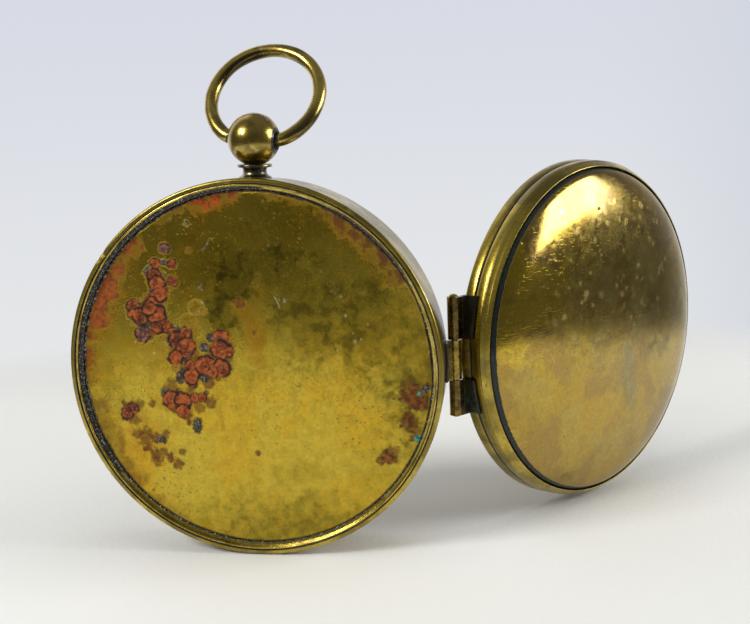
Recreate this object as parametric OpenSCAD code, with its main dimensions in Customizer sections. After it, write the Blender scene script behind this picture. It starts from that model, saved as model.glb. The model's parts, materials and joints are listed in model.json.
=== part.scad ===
// Pocket astrolabe in a round brass drum case with a hinged, domed lid.
// The drum axis runs along Y: the plain back of the case faces -Y, the
// instrument faces +Y. +Z points to the hanging ring. The origin is the
// centre of the back plate's outer face.

/* [Case] */
// Largest radius of the case, over the bead at the back
case_r = 40; // [38:0.5:42]
// Radius of the straight side wall
wall_r = 39.2; // [39:0.1:39.4]
// Thickness of the side wall
wall_t = 1.1; // [0.9:0.1:1.2]
// Depth of the case, back rim to front edge
case_d = 14.6; // [14.4:0.1:15]
// How far the back plate lies below the back rim
back_recess = 1.7; // [1.5:0.1:1.8]

/* [Lid] */
// Opening angle of the lid as it stands
lid_open = 126.7; // [0:0.1:180]
// Radius of the lid at its open edge
lid_r = 39.12; // [39:0.02:39.2]
// Height of the lid's side band
band_h = 5.4; // [5.2:0.05:5.6]
// Height from the open edge to the top of the lid's bead
bead_top = 7.14; // [7.1:0.02:7.3]
// Height from the open edge to the crown of the dome
dome_top = 11.86; // [11:0.02:13]
// Thickness of the dome's sheet
dome_t = 0.7; // [0.5:0.05:0.9]

/* [Hinge] */
// Outer radius of the hinge barrel
knuckle_r = 1.4; // [1.3:0.05:1.5]
// Radius of the hinge pin
hinge_pin_r = 0.6; // [0.5:0.05:0.7]
// Height of the top of the barrel
hinge_top = 12.85; // [12:0.05:14]
// Height of the joint between the top and middle knuckles
hinge_j1 = 3.7; // [3:0.1:5]
// Height of the joint between the middle and bottom knuckles
hinge_j2 = -4.95; // [-6:0.05:-3]
// Height of the foot of the barrel
hinge_bot = -12.8; // [-14:0.05:-12]

/* [Pendant and bow] */
// Tilt of the pendant from straight up, towards the hinge
pendant_tilt = 1.4; // [0:0.1:3]
// Distance of the pendant's axis from the back rim
pendant_y = 7.4; // [7:0.1:8]
// Radius of the ball
ball_r = 5.45; // [5:0.05:5.6]
// Distance from the case's centre to the centre of the ball
ball_z = 47.46; // [47:0.02:48.5]
// Turn of the ball on its swivel
ball_yaw = -5.6; // [-45:0.1:45]
// How far off level the cross bore of the ball is
bow_skew = 3.6; // [0:0.1:6]
// Lean of the bow away from the back of the case
bow_lean = 34.6; // [-60:0.1:60]
// Radius of the bow, to the middle of its wire
bow_r = 11.75; // [10:0.05:13]
// Height of the bow's centre over the cross bore
bow_off = 10.38; // [9:0.02:11]
// Radius of the bow's wire
bow_wire_r = 1.45; // [1.2:0.05:1.5]

/* [Instrument] */
// Radius of the tropic of Capricorn on the plates
capricorn_r = 30; // [28:0.5:30]
// Thickness of one latitude plate
plate_t = 1; // [0.8:0.1:1]
// Thickness of the star map
rete_t = 0.9; // [0.7:0.05:0.9]
// Turn of the star map
rete_turn = 20; // [0:5:355]
// Half length of the sighting rule
rule_half = 33.5; // [31:0.5:34]
// Turn of the rule
rule_turn = -32; // [-90:1:90]
// Height of the sight vanes above their pins
vane_h = 7.6; // [6:0.1:8]
// Radius of the centre pin
pin_r = 2; // [1.8:0.1:2.2]

/* [Hidden] */
$fn = 96;

inner_r = wall_r - wall_t;          // inside of the drum wall
hx = wall_r + knuckle_r + 0.05;     // hinge axis
hy = case_d + 0.05;
lid_y = case_d + 0.15;              // plane of the lid's open edge when shut
mater_y = 2.9;                      // back of the mater plate
plates_y = 3.95;                    // back of the first latitude plate
limb_in = 32;                       // inner radius of the limb
limb_y1 = 8.3;                      // face of the limb
rete_y = 7.25;                      // back of the star map
rule_y = 8.5;                       // back of the rule
rule_t = 1.1;
washer_y = rule_y + rule_t + 0.1;
vane_x = 24;                        // where the vanes stand on the rule
vane_y = rule_y + rule_t + 0.85;    // height of the vane pins
ecl = 23.5;                         // obliquity of the ecliptic
equator_r = capricorn_r / tan(45 + ecl / 2);
cancer_r = equator_r * tan(45 - ecl / 2);
brass = [0.62, 0.50, 0.22];
dark_brass = [0.42, 0.34, 0.15];
pale_brass = [0.72, 0.62, 0.36];
steel = [0.45, 0.44, 0.42];

// turn the local Z axis onto +Y
module axial() rotate([-90, 0, 0]) children();
// ring or disc turned about the drum axis from a profile of [radius, y]
module turned(pts) axial() rotate_extrude($fn = 180) polygon(pts);
module disc(r, y0, y1) translate([0, y0, 0]) axial() cylinder(r = r, h = y1 - y0, $fn = 180);
module bore(r, y0, y1) translate([0, y0 - 1, 0]) axial() cylinder(r = r, h = y1 - y0 + 2, $fn = 64);
// flat shape drawn face up, x to the right and y up as seen from the back
module sheet(y0, t) translate([0, y0 + t, 0]) rotate([90, 0, 0]) linear_extrude(height = t) children();
// arc of n + 1 points in a profile
function arc(cx, cy, r, a0, a1, n = 8) = [for (i = [0:n]) let (a = a0 + (a1 - a0) * i / n) [cx + r * cos(a), cy + r * sin(a)]];
// the lid's place: it is drawn shut and swung open about the hinge
module swung() translate([hx, hy, 0]) rotate([0, 0, -lid_open]) translate([-hx, -hy, 0]) children();
module lid_turned(pts) swung() translate([0, lid_y, 0]) turned(pts);
// the pendant's axis: local Z runs out from the case's centre
// the drum is drawn from its back rim and set so that the back plate's face lies at y = 0
module base() translate([0, -back_recess, 0]) children();
module pendant_axis() translate([0, pendant_y, 0]) rotate([0, pendant_tilt, 0]) children();
module ball_place() pendant_axis() translate([0, 0, ball_z]) rotate([0, 0, ball_yaw]) rotate([0, bow_skew, 0]) children();
module rule_place() rotate([0, rule_turn, 0]) children();

// ---------------------------------------------------------------- case
module case_wall() color(brass) base() difference() {
    turned(concat(
        [[38.92, 0.16], [38.98, 0.04], [39.1, 0]],
        arc(39.42, 0.58, 0.58, -90, 0, 6),
        [[case_r, 2.3], [case_r - 0.12, 2.7], [wall_r + 0.25, 3.0], [wall_r, 3.1],
         [wall_r, case_d - 0.3], [wall_r - 0.2, case_d], [inner_r + 0.25, case_d], [inner_r, case_d - 0.2],
         [inner_r, mater_y], [37.2, mater_y], [37.2, 2.6], [inner_r, 2.6], [inner_r, back_recess], [38.92, back_recess]]));
    pendant_axis() translate([0, 0, 36]) cylinder(r = 2.03, h = 6, $fn = 48);
}

// plain plate with a low step round it, which the bezel's flange holds down
module back_plate() color(brass) base()
    turned([[0, back_recess], [37.5, back_recess], [37.55, back_recess + 0.05], [inner_r - 0.05, back_recess + 0.05], [inner_r - 0.05, 2.58], [0, 2.58]]);

module back_bezel() color(pale_brass) base()
    turned(concat([[38.88, 1.66], [38.88, 0.42]], arc(38.6, 0.4, 0.28, 0, -180, 8),
                  [[38.32, 1.25], [37.6, 1.4], [37.6, 1.66]]));

// friction ring standing just proud of the front edge: the shut lid slips over it
module front_bezel() color(brass) base() difference() {
    turned([[37.3, limb_y1 + 0.02], [inner_r - 0.02, limb_y1 + 0.02], [inner_r - 0.02, case_d - 0.25], [37.95, case_d - 0.1],
            [37.95, 15.1], [37.8, 15.3], [37.45, 15.3], [37.3, 15.15]]);
    pendant_axis() translate([0, 0, 33]) cylinder(r = 4.2, h = 8, $fn = 48);
}

// ---------------------------------------------------------------- mater
module mater_plate() color(brass) base() difference() {
    disc(inner_r - 0.05, mater_y, 3.9);
    bore(pin_r + 0.02, mater_y, 3.9);
    translate([0, mater_y - 0.5, 0]) axial() cylinder(r = 3.65, h = 1.05, $fn = 64);
    for (a = [0:60:300]) rotate([0, -a, 0]) translate([36, mater_y - 1, 0]) axial() cylinder(r = 0.82, h = 3, $fn = 24);
}

module limb_ring() color(pale_brass) base() difference() {
    turned([[limb_in, 3.92], [inner_r - 0.05, 3.92], [inner_r - 0.05, limb_y1 - 0.1], [inner_r - 0.15, limb_y1],
            [limb_in + 0.2, limb_y1], [limb_in, limb_y1 - 0.2]]);
    // pocket for the pendant's nut, and the key slot that stops the plates turning
    pendant_axis() translate([0, 0, 34.7]) cylinder(r = 4.2, h = 8, $fn = 48);
    translate([-1.55, 3, -(limb_in + 1.5)]) cube([3.1, 4.1, 3]);
    for (a = [0:60:300]) rotate([0, -a, 0]) translate([36, 3, 0]) axial() cylinder(r = 0.82, h = 7, $fn = 24);
}

module limb_rivets() color(dark_brass) base() for (a = [0:60:300]) rotate([0, -a, 0]) translate([36, 0, 0]) {
    translate([0, mater_y + 0.02, 0]) axial() cylinder(r = 0.8, h = limb_y1 - mater_y, $fn = 24);
    translate([0, limb_y1 + 0.01, 0]) axial() rotate_extrude($fn = 24)
        polygon([[0, 0], [1.15, 0], [1.05, 0.18], [0.6, 0.36], [0, 0.42]]);
}

// one latitude plate, keyed to the limb
module tympan(y0) color(pale_brass) base() difference() {
    union() {
        disc(limb_in - 0.1, y0, y0 + plate_t - 0.02);
        translate([-1.4, y0, -(limb_in + 1.3)]) cube([2.8, plate_t - 0.02, 3]);
    }
    bore(pin_r + 0.03, y0, y0 + plate_t);
}
module tympan_1() tympan(plates_y);
module tympan_2() tympan(plates_y + plate_t);
module tympan_3() tympan(plates_y + 2 * plate_t);

// ---------------------------------------------------------------- star map
// right ascension in degrees, declination, and the radius the pointer grows from
stars = [[67, 16, 29.4], [79, 46, 3.5], [101, -17, 29.4], [114, 5, 29.4], [152, 12, 29.4], [201, -11, 29.4],
         [213, 19, 29.4], [233, 27, 3.5], [263, 12.5, 3.5], [279, 39, 3.5], [298, 9, 3.5], [311, 45, 3.5],
         [345, 28, 29.4], [11, -18, 29.4], [24, 35, 3.5]];
function star_r(dec) = equator_r * tan((90 - dec) / 2);
// a curved, tapering pointer from radius r0 at angle a0 to its tip at r1, a1
module pointer(a0, r0, a1, r1) {
    n = 8;
    w0 = 0.95;
    mid = [for (i = [0:n]) let (u = i / n, a = a0 + (a1 - a0) * u * u, r = r0 + (r1 - r0) * u) [r * cos(a), r * sin(a)]];
    d = [for (i = [0:n]) let (p = mid[max(0, i - 1)], q = mid[min(n, i + 1)], l = norm(q - p)) [-(q - p)[1] / l, (q - p)[0] / l]];
    polygon(concat([for (i = [0:n]) mid[i] + d[i] * (w0 * (1 - i / n) + 0.12)],
                   [for (i = [n:-1:0]) mid[i] - d[i] * (w0 * (1 - i / n) + 0.12)]));
}
module ring_of(r1, r0) difference() {
    cylinder(r = r1, h = rete_t, $fn = 150);
    translate([0, 0, -1]) cylinder(r = r0, h = rete_t + 2, $fn = 150);
}
module rete() color(pale_brass) base() rotate([0, rete_turn, 0]) translate([0, rete_y + rete_t, 0]) rotate([90, 0, 0]) difference() {
    union() {
        ring_of(31.65, capricorn_r - 1.2);
        // the ecliptic, eccentric and touching both tropics
        translate([0, (capricorn_r - cancer_r) / 2, 0]) ring_of((capricorn_r + cancer_r) / 2, (capricorn_r + cancer_r) / 2 - 2);
        // lower half of the equator circle
        intersection() {
            ring_of(equator_r + 0.7, equator_r - 0.7);
            translate([-40, -40, -1]) cube([80, 39.5, 4]);
        }
        translate([-30.5, -0.9, 0]) cube([61, 1.8, rete_t]);
        translate([-0.9, -30.5, 0]) cube([1.8, 61, rete_t]);
        cylinder(r = 5, h = rete_t, $fn = 64);
        for (s = stars) {
            linear_extrude(height = rete_t) pointer(s[0] + (s[2] > 10 ? 9 : -22), s[2], s[0], star_r(s[1]));
            rotate([0, 0, s[0]]) translate([star_r(s[1]), 0, 0]) cylinder(r = 0.35, h = rete_t, $fn = 16);
        }
    }
    translate([0, 0, -1]) cylinder(r = pin_r + 0.06, h = rete_t + 2, $fn = 64);
}

// ---------------------------------------------------------------- rule and sights
module rule_shape() difference() {
    union() {
        circle(r = 5.2, $fn = 64);
        for (s = [-1, 1]) scale([s, 1]) polygon([[0, -2.2], [19, -2.2], [20.5, -3.6], [27.2, -3.6], [28.6, -2.2], [31.5, -1.4],
                                                 [rule_half, 0], [31.5, 0], [0, 0]]);
        for (s = [-1, 1]) scale([s, 1]) polygon([[0, 2.2], [19, 2.2], [20.5, 3.6], [27.2, 3.6], [28.6, 2.2], [31.5, 1.4],
                                                 [rule_half, 0], [31.5, 0], [0, 0]]);
    }
    circle(r = pin_r + 0.06, $fn = 64);
}
module rule() color(brass) base() rule_place() difference() {
    union() {
        sheet(rule_y, rule_t) rule_shape();
        for (sx = [-1, 1], sz = [-1, 1]) translate([sx * vane_x, 0, sz * 2.95]) {
            translate([0, vane_y, -0.6]) cylinder(r = 0.8, h = 1.2, $fn = 32);
            translate([-0.8, rule_y + rule_t - 0.1, -0.6]) cube([1.6, 0.95, 1.2]);
        }
    }
    for (sx = [-1, 1]) translate([sx * vane_x, vane_y, -5]) cylinder(r = 0.41, h = 10, $fn = 24);
}
module vane_pins() color(steel) base() rule_place()
    for (sx = [-1, 1]) translate([sx * vane_x, vane_y, -3.7]) cylinder(r = 0.4, h = 7.4, $fn = 24);

// one sight, standing: a knuckle between the rule's ears and a pierced plate
module sight_vane(sx) color(brass) base() rule_place() translate([sx * vane_x, vane_y, 0]) difference() {
    union() {
        translate([0, 0, -2.2]) cylinder(r = 0.7, h = 4.4, $fn = 32);
        translate([-0.35, 0, -2.2]) cube([0.7, 2, 4.4]);
        translate([-0.35, 1.2, 0]) rotate([0, 90, 0]) linear_extrude(height = 0.7)
            polygon([[-3.2, 0], [3.2, 0], [3.2, vane_h - 2.2], [1.6, vane_h - 1.2], [-1.6, vane_h - 1.2], [-3.2, vane_h - 2.2]]);
    }
    translate([0, 0, -4]) cylinder(r = 0.45, h = 8, $fn = 24);
    translate([-2, 5.4, 0]) rotate([0, 90, 0]) cylinder(r = 0.45, h = 4, $fn = 24);
    translate([-2, 3.0, 0]) rotate([0, 90, 0]) cylinder(r = 0.8, h = 4, $fn = 24);
}
module sight_vane_1() sight_vane(1);
module sight_vane_2() sight_vane(-1);

// ---------------------------------------------------------------- centre pin
module centre_pin() color(steel) base() difference() {
    union() {
        translate([0, mater_y + 0.03, 0]) axial() cylinder(r = 3.6, h = 0.5, $fn = 64);
        translate([0, mater_y + 0.03, 0]) axial() cylinder(r = pin_r, h = 9.1, $fn = 64);
        translate([0, mater_y + 9.13, 0]) axial() rotate_extrude($fn = 64)
            polygon([[0, 0], [pin_r, 0], [pin_r - 0.15, 0.35], [1.1, 0.75], [0, 0.85]]);
    }
    rotate([0, 45, 0]) translate([-5, washer_y + 0.38, -0.5]) cube([10, 1.55, 1]);
}
module pin_washer() color(pale_brass) base() turned([[pin_r + 0.05, washer_y], [4.4, washer_y], [4.4, washer_y + 0.2], [4.1, washer_y + 0.38], [pin_r + 0.05, washer_y + 0.38]]);

// the wedge that locks the plates on the pin, its thick end cut as a little scroll
module horse_wedge() color(dark_brass) base() rotate([0, 45, 0]) difference() {
    translate([0, washer_y + 0.42, -0.44]) linear_extrude(height = 0.88) union() {
        polygon([[-5.2, 0], [7.2, 0], [7.2, 1.9], [2.6, 1.44], [-5.2, 0.7]]);
        translate([7.4, 1.35]) circle(r = 1.35, $fn = 40);
    }
    translate([7.4, washer_y + 0.42 + 1.35, -2]) cylinder(r = 0.5, h = 4, $fn = 24);
}

// ---------------------------------------------------------------- pendant and bow
// neck soldered to the side wall, with a hollow shank through it for the swivel's spindle
module pendant_neck() color(brass) base() difference() {
    union() {
        difference() {
            pendant_axis() rotate_extrude($fn = 72) polygon(concat(
                [[0, 38], [3.5, 38], [3.45, 39.5], [3.2, 39.9]],
                arc(3.68, 40.98, 1.25, 235, 145, 8),
                [[2.75, 41.72], [3.5, 41.74], [3.6, 41.88], [3.6, 42.26], [3.45, 42.42], [0, 42.42]]));
            disc(wall_r + 0.01, -1, 17);
        }
        pendant_axis() translate([0, 0, 36.1]) cylinder(r = 2, h = 4.5, $fn = 48);
    }
    pendant_axis() translate([0, 0, 30]) cylinder(r = 1.2, h = 20, $fn = 48);
}
module pendant_nut() color(dark_brass) base() pendant_axis() difference() {
    translate([0, 0, 36.65]) cylinder(r = 3.15, h = 1.15, $fn = 6);
    translate([0, 0, 36]) cylinder(r = 2.01, h = 3, $fn = 48);
}
// ball with a cross bore for the bow and a spindle that turns in the neck
module bow_ball() color(brass) base() difference() {
    pendant_axis() union() {
        intersection() {
            translate([0, 0, ball_z]) sphere(r = ball_r, $fn = 96);
            translate([-7, -7, ball_z - 4.99]) cube([14, 14, 14]);
        }
        translate([0, 0, 35.12]) cylinder(r = 1.15, h = 8, $fn = 48);
    }
    ball_place() rotate([0, 90, 0]) {
        translate([0, 0, -8]) cylinder(r = bow_wire_r + 0.05, h = 16, $fn = 48);
        for (s = [0, 180]) rotate([s, 0, 0]) translate([0, 0, 4.35]) cylinder(r1 = bow_wire_r + 0.05, r2 = 2.75, h = 1.6, $fn = 48);
    }
}
module swivel_washer() color(dark_brass) base() pendant_axis() difference() {
    translate([0, 0, 35.2]) cylinder(r = 2.2, h = 0.62, $fn = 48);
    translate([0, 0, 35]) cylinder(r = 1.155, h = 2, $fn = 48);
}
// bent ring whose two ends are sprung into the ball's cross bore
bow_half = sqrt(bow_r * bow_r - bow_off * bow_off);
bow_gap = asin(bow_half / bow_r);
module bow_ring() color(brass) base() ball_place() rotate([-bow_lean, 0, 0]) {
    translate([0, 0, bow_off]) rotate([90, 0, 0]) rotate([0, 0, -90 + bow_gap])
        rotate_extrude(angle = 360 - 2 * bow_gap, $fn = 120) translate([bow_r, 0]) circle(r = bow_wire_r, $fn = 40);
    for (s = [-1, 1]) {
        translate([s * bow_half, 0, 0]) sphere(r = bow_wire_r, $fn = 40);
        translate([s > 0 ? 1.4 : -bow_half, 0, 0]) rotate([0, 90, 0]) cylinder(r = bow_wire_r, h = bow_half - 1.4, $fn = 40);
    }
}

// ---------------------------------------------------------------- hinge
module knuckle(z0, z1) translate([hx, hy, z0]) cylinder(r = knuckle_r, h = z1 - z0, $fn = 48);
module hinge_bore(r) translate([hx, hy, -30]) cylinder(r = r, h = 60, $fn = 36);

module hinge_case_leaf() color(brass) base() difference() {
    union() {
        knuckle(hinge_j2 + 0.13, hinge_j1 - 0.13);
        translate([38.6, case_d - 1.3, hinge_j2 + 0.13]) cube([hx - 38.6, 1.15, hinge_j1 - hinge_j2 - 0.26]);
        intersection() {
            turned([[38, case_d - 4.2], [wall_r + 0.4, case_d - 4.2], [wall_r + 0.6, case_d - 4], [wall_r + 0.6, case_d - 0.3], [wall_r + 0.4, case_d - 0.15], [38, case_d - 0.15]]);
            translate([30, 0, hinge_j2 + 0.13]) cube([15, 20, hinge_j1 - hinge_j2 - 0.26]);
        }
    }
    disc(wall_r + 0.01, -1, case_d + 1);
    hinge_bore(hinge_pin_r + 0.04);
}

module hinge_lid_leaf() color(brass) base() swung() difference() {
    union() for (z = [[hinge_bot, hinge_j2 - 0.13], [hinge_j1 + 0.13, hinge_top]]) {
        knuckle(z[0], z[1]);
        translate([36, lid_y + 0.15, z[0]]) cube([hx - 36, 1.13, z[1] - z[0]]);
        intersection() {
            turned([[37, lid_y + 0.15], [lid_r + 0.35, lid_y + 0.15], [lid_r + 0.5, lid_y + 0.3], [lid_r + 0.5, lid_y + 3.6], [lid_r + 0.3, lid_y + 3.8], [37, lid_y + 3.8]]);
            translate([30, 0, z[0]]) cube([15, 30, z[1] - z[0]]);
        }
    }
    disc(lid_r + 0.01, 0, lid_y + 10);
    hinge_bore(hinge_pin_r);
}
module hinge_pin() color(pale_brass) base() swung() translate([hx, hy, 0]) {
    translate([0, 0, hinge_bot - 0.35]) cylinder(r = hinge_pin_r, h = hinge_top - hinge_bot + 0.7, $fn = 36);
    translate([0, 0, hinge_top + 0.02]) rotate_extrude($fn = 36) polygon([[0, 0], [0.95, 0], [0.95, 0.2], [0.75, 0.45], [0.3, 0.6], [0, 0.62]]);
}

// ---------------------------------------------------------------- lid, profiles of [radius, height over the open edge]
function crown(a, d0, h, n = 2.2, m = 22) = [for (i = [0:m]) let (t = 90 * i / m) [a * pow(cos(t), 2 / n), d0 + h * pow(sin(t), 2 / n)]];

module lid_band() color(brass) base() lid_turned([
    [38.35, 0], [lid_r - 0.2, 0], [lid_r - 0.05, 0.14], [lid_r, 0.5], [lid_r, 1.3], [lid_r - 0.08, 1.9], [lid_r - 0.22, band_h - 3.1],
    [lid_r - 0.42, band_h - 2.85], [37.95, band_h - 2.7], [37.95, band_h - 3.4], [38.15, 1.2], [38.15, 0.2]]);

// outer ring of the lid: a slightly full side, a sharp ridge and a sloping shoulder down to the dome
module lid_bezel() color(brass) base() lid_turned([
    [37.95, band_h - 2.68], [lid_r - 0.5, band_h - 2.68], [lid_r - 0.26, band_h - 2.5], [lid_r - 0.16, band_h - 1.9], [lid_r - 0.14, band_h - 1.2],
    [lid_r - 0.24, band_h - 0.5], [lid_r - 0.36, band_h - 0.22], [lid_r - 0.22, band_h - 0.08], [lid_r - 0.22, band_h + 0.04],
    [38.62, band_h + 0.4], [38.28, band_h + 0.95], [37.95, bead_top - 0.35], [37.78, bead_top - 0.06], [37.66, bead_top], [37.55, bead_top - 0.05],
    [37.5, bead_top - 0.25], [37.5, band_h + 0.76], [38.1, band_h + 0.72], [38.22, band_h + 0.3], [38.22, band_h + 0.02], [37.95, band_h - 0.02]]);

module lid_dome() color(brass) base() lid_turned(concat(
    [[36.6, band_h + 0.02], [38.2, band_h + 0.03], [38.2, band_h + 0.3], [38.08, band_h + 0.71], [37.42, band_h + 0.74]],
    crown(37.3, band_h + 0.9, dome_top - band_h - 0.9),
    reverse(crown(36.6, band_h + 0.9, dome_top - dome_t - band_h - 0.9))));
function reverse(v) = [for (i = [len(v) - 1:-1:0]) v[i]];

case_wall();
back_plate();
back_bezel();
front_bezel();
mater_plate();
limb_ring();
limb_rivets();
tympan_1();
tympan_2();
tympan_3();
rete();
rule();
sight_vane_1();
sight_vane_2();
vane_pins();
centre_pin();
pin_washer();
horse_wedge();
pendant_neck();
pendant_nut();
bow_ball();
swivel_washer();
bow_ring();
hinge_case_leaf();
hinge_lid_leaf();
hinge_pin();
lid_band();
lid_bezel();
lid_dome();
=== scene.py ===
import bpy, math, json
import numpy as np
from mathutils import Matrix, Vector


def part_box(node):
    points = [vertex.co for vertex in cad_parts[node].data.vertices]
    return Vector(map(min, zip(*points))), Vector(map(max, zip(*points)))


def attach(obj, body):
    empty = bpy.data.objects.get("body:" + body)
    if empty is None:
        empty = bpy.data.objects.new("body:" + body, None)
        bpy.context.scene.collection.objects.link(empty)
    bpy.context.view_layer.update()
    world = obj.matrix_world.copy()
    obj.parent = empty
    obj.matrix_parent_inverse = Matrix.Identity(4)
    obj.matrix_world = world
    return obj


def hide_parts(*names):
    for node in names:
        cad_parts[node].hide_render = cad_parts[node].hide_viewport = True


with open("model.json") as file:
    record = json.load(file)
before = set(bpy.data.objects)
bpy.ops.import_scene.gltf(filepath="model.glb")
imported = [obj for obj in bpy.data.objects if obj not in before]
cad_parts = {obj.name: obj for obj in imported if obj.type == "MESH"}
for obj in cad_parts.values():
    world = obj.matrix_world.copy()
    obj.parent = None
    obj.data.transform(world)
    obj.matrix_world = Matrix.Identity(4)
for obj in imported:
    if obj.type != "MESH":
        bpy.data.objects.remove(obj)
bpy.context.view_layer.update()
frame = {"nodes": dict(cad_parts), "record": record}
MM = 0.001

# ------------------------------------------------------------------ frame numbers
REC = frame["record"]
JOINTS = {j["name"]: j for j in REC["behaviour"]["joints"]}
HINGE = np.array(JOINTS["lid_hinge"]["pos_m"]) * 1000
LID_OPEN = -JOINTS["lid_hinge"]["range_deg"][0]
BR = 1.7                     # the back rim stands this far behind the back plate's face (y = 0)
CASE_D = 14.6
LID_Y = CASE_D + 0.15 - BR   # plane of the lid's open edge when shut
FLOOR_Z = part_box("case_wall")[0][2]


def rot(axis, deg):
    a = math.radians(deg)
    return np.array(Matrix.Rotation(a, 3, axis))


R_LID = rot("Z", -LID_OPEN)


def to_lid(v):
    """Points drawn with the lid shut, swung to where the lid stands."""
    return (v - HINGE) @ R_LID.T + HINGE


# ------------------------------------------------------------------ noise
def _hash(ix, iy, seed):
    n = (ix.astype(np.int64) * 374761393 + iy.astype(np.int64) * 668265263 + seed * 1442695041) & 0xFFFFFFFF
    n = ((n ^ (n >> 13)) * 1274126177) & 0xFFFFFFFF
    n = (n ^ (n >> 16)) & 0xFFFFFFFF
    return n / 4294967295.0


def vnoise(x, y, seed=0):
    ix, iy = np.floor(x), np.floor(y)
    fx, fy = x - ix, y - iy
    fx, fy = fx * fx * fx * (fx * (fx * 6 - 15) + 10), fy * fy * fy * (fy * (fy * 6 - 15) + 10)
    a, b = _hash(ix, iy, seed), _hash(ix + 1, iy, seed)
    c, d = _hash(ix, iy + 1, seed), _hash(ix + 1, iy + 1, seed)
    return (a * (1 - fx) + b * fx) * (1 - fy) + (c * (1 - fx) + d * fx) * fy


def fbm(x, y, seed=0, octaves=4, gain=0.5):
    out, amp, tot = 0.0, 1.0, 0.0
    for k in range(octaves):
        out = out + amp * vnoise(x * 2**k + 17.3 * k, y * 2**k - 9.1 * k, seed + 31 * k)
        tot += amp
        amp *= gain
    return out / tot


def smooth(x, a, b):
    t = np.clip((x - a) / (b - a), 0, 1)
    return t * t * (3 - 2 * t)


def mixc(a, b, t):
    return a * (1 - t)[:, None] + b * t[:, None]


# ------------------------------------------------------------------ mesh helpers
def make(name, verts, faces, mat, body, replaces=(), sharp=35, attrs=None, colors=None, slot=None):
    """One smooth-shaded piece from vertices in mm, riding on a body."""
    me = bpy.data.meshes.new(name)
    verts = np.asarray(verts, dtype=np.float64) * MM
    if isinstance(faces, np.ndarray):
        n = faces.shape[1]
        me.vertices.add(len(verts))
        me.vertices.foreach_set("co", verts.astype(np.float32).ravel())
        me.loops.add(faces.size)
        me.loops.foreach_set("vertex_index", faces.astype(np.int32).ravel())
        me.polygons.add(len(faces))
        me.polygons.foreach_set("loop_start", (np.arange(len(faces)) * n).astype(np.int32))
        me.polygons.foreach_set("loop_total", np.full(len(faces), n, dtype=np.int32))
        me.update(calc_edges=True)
    else:
        me.from_pydata([tuple(v) for v in verts], [], faces)
    me.validate()
    me.shade_smooth()
    if sharp:
        me.set_sharp_from_angle(angle=math.radians(sharp))
    for k, v in (attrs or {}).items():
        at = me.attributes.new(k, "FLOAT", "POINT")
        at.data.foreach_set("value", np.asarray(v, dtype=np.float32))
    for k, v in (colors or {}).items():
        at = me.attributes.new(k, "FLOAT_COLOR", "POINT")
        v = np.asarray(v, dtype=np.float32)
        if v.shape[1] == 3:
            v = np.concatenate([v, np.ones((len(v), 1), np.float32)], 1)
        at.data.foreach_set("color", v.ravel())
    me.materials.append(mat)
    ob = bpy.data.objects.new(name, me)
    bpy.context.scene.collection.objects.link(ob)
    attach(ob, body)
    if replaces:
        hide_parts(*replaces)
    return ob


def fillet(pts, r=0.08, n=3, closed=True):
    """Rounds the corners of a profile. A point may carry its own radius as a third value."""
    out = []
    m = len(pts)
    for i in range(m):
        p = np.array(pts[i][:2], float)
        rr = pts[i][2] if len(pts[i]) > 2 else r
        if not closed and i in (0, m - 1):
            out.append(p)
            continue
        a, b = np.array(pts[i - 1][:2], float), np.array(pts[(i + 1) % m][:2], float)
        da, db = a - p, b - p
        la, lb = np.linalg.norm(da), np.linalg.norm(db)
        c = min(rr, la * 0.45, lb * 0.45)
        if c < 0.004:
            out.append(p)
            continue
        p0, p1 = p + da / la * c, p + db / lb * c
        for k in range(n + 1):
            t = k / n
            out.append((1 - t) ** 2 * p0 + 2 * t * (1 - t) * p + t * t * p1)
    return np.array(out)


def resample(prof, step, closed=True):
    """Adds points so that no span of a profile is longer than step."""
    out = []
    m = len(prof)
    for i in range(m if closed else m - 1):
        a, b = prof[i], prof[(i + 1) % m]
        k = max(1, int(np.ceil(np.linalg.norm(b - a) / step)))
        for j in range(k):
            out.append(a + (b - a) * j / k)
    if not closed:
        out.append(prof[-1])
    return np.array(out)


def lathe(name, prof, mat, body, n=360, closed=True, wobble=None, to=None, dirt_and_shade=None, **kw):
    """Turns a profile of (radius, y) about the Y axis. wobble(theta, r, y) returns dr, dy in mm; dirt_and_shade(theta,
    r, y) is 0 to 1: grime in creases, and painted shade in places.
    """
    m = len(prof)
    th = np.arange(n) * 2 * np.pi / n
    T, I = np.meshgrid(th, np.arange(m), indexing="ij")
    r, y = prof[I.ravel(), 0].copy(), prof[I.ravel(), 1].copy()
    t = T.ravel()
    d = np.zeros(len(t)) if dirt_and_shade is None else dirt_and_shade(t, r, y)
    if wobble is not None:
        dr, dy = wobble(t, r, y)
        r = r + dr * (r > 0.01)
        y = y + dy
    v = np.stack([r * np.cos(t), y, r * np.sin(t)], 1)
    i, j = np.meshgrid(np.arange(n), np.arange(m if closed else m - 1), indexing="ij")
    i, j = i.ravel(), j.ravel()
    f = np.stack([i * m + j, i * m + (j + 1) % m, ((i + 1) % n) * m + (j + 1) % m, ((i + 1) % n) * m + j], 1)
    if orient(prof, closed):
        f = f[:, ::-1]
    if to is not None:
        v = to(v)
    return make(name, v, f, mat, body, attrs={"dirt_and_shade": d}, **kw)


def orient(prof, closed=True):
    """True when the profile's winding needs its faces turned."""
    x, y = prof[:, 0], prof[:, 1]
    s = np.sum(x * np.roll(y, -1) - np.roll(x, -1) * y)
    return s < 0


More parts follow.
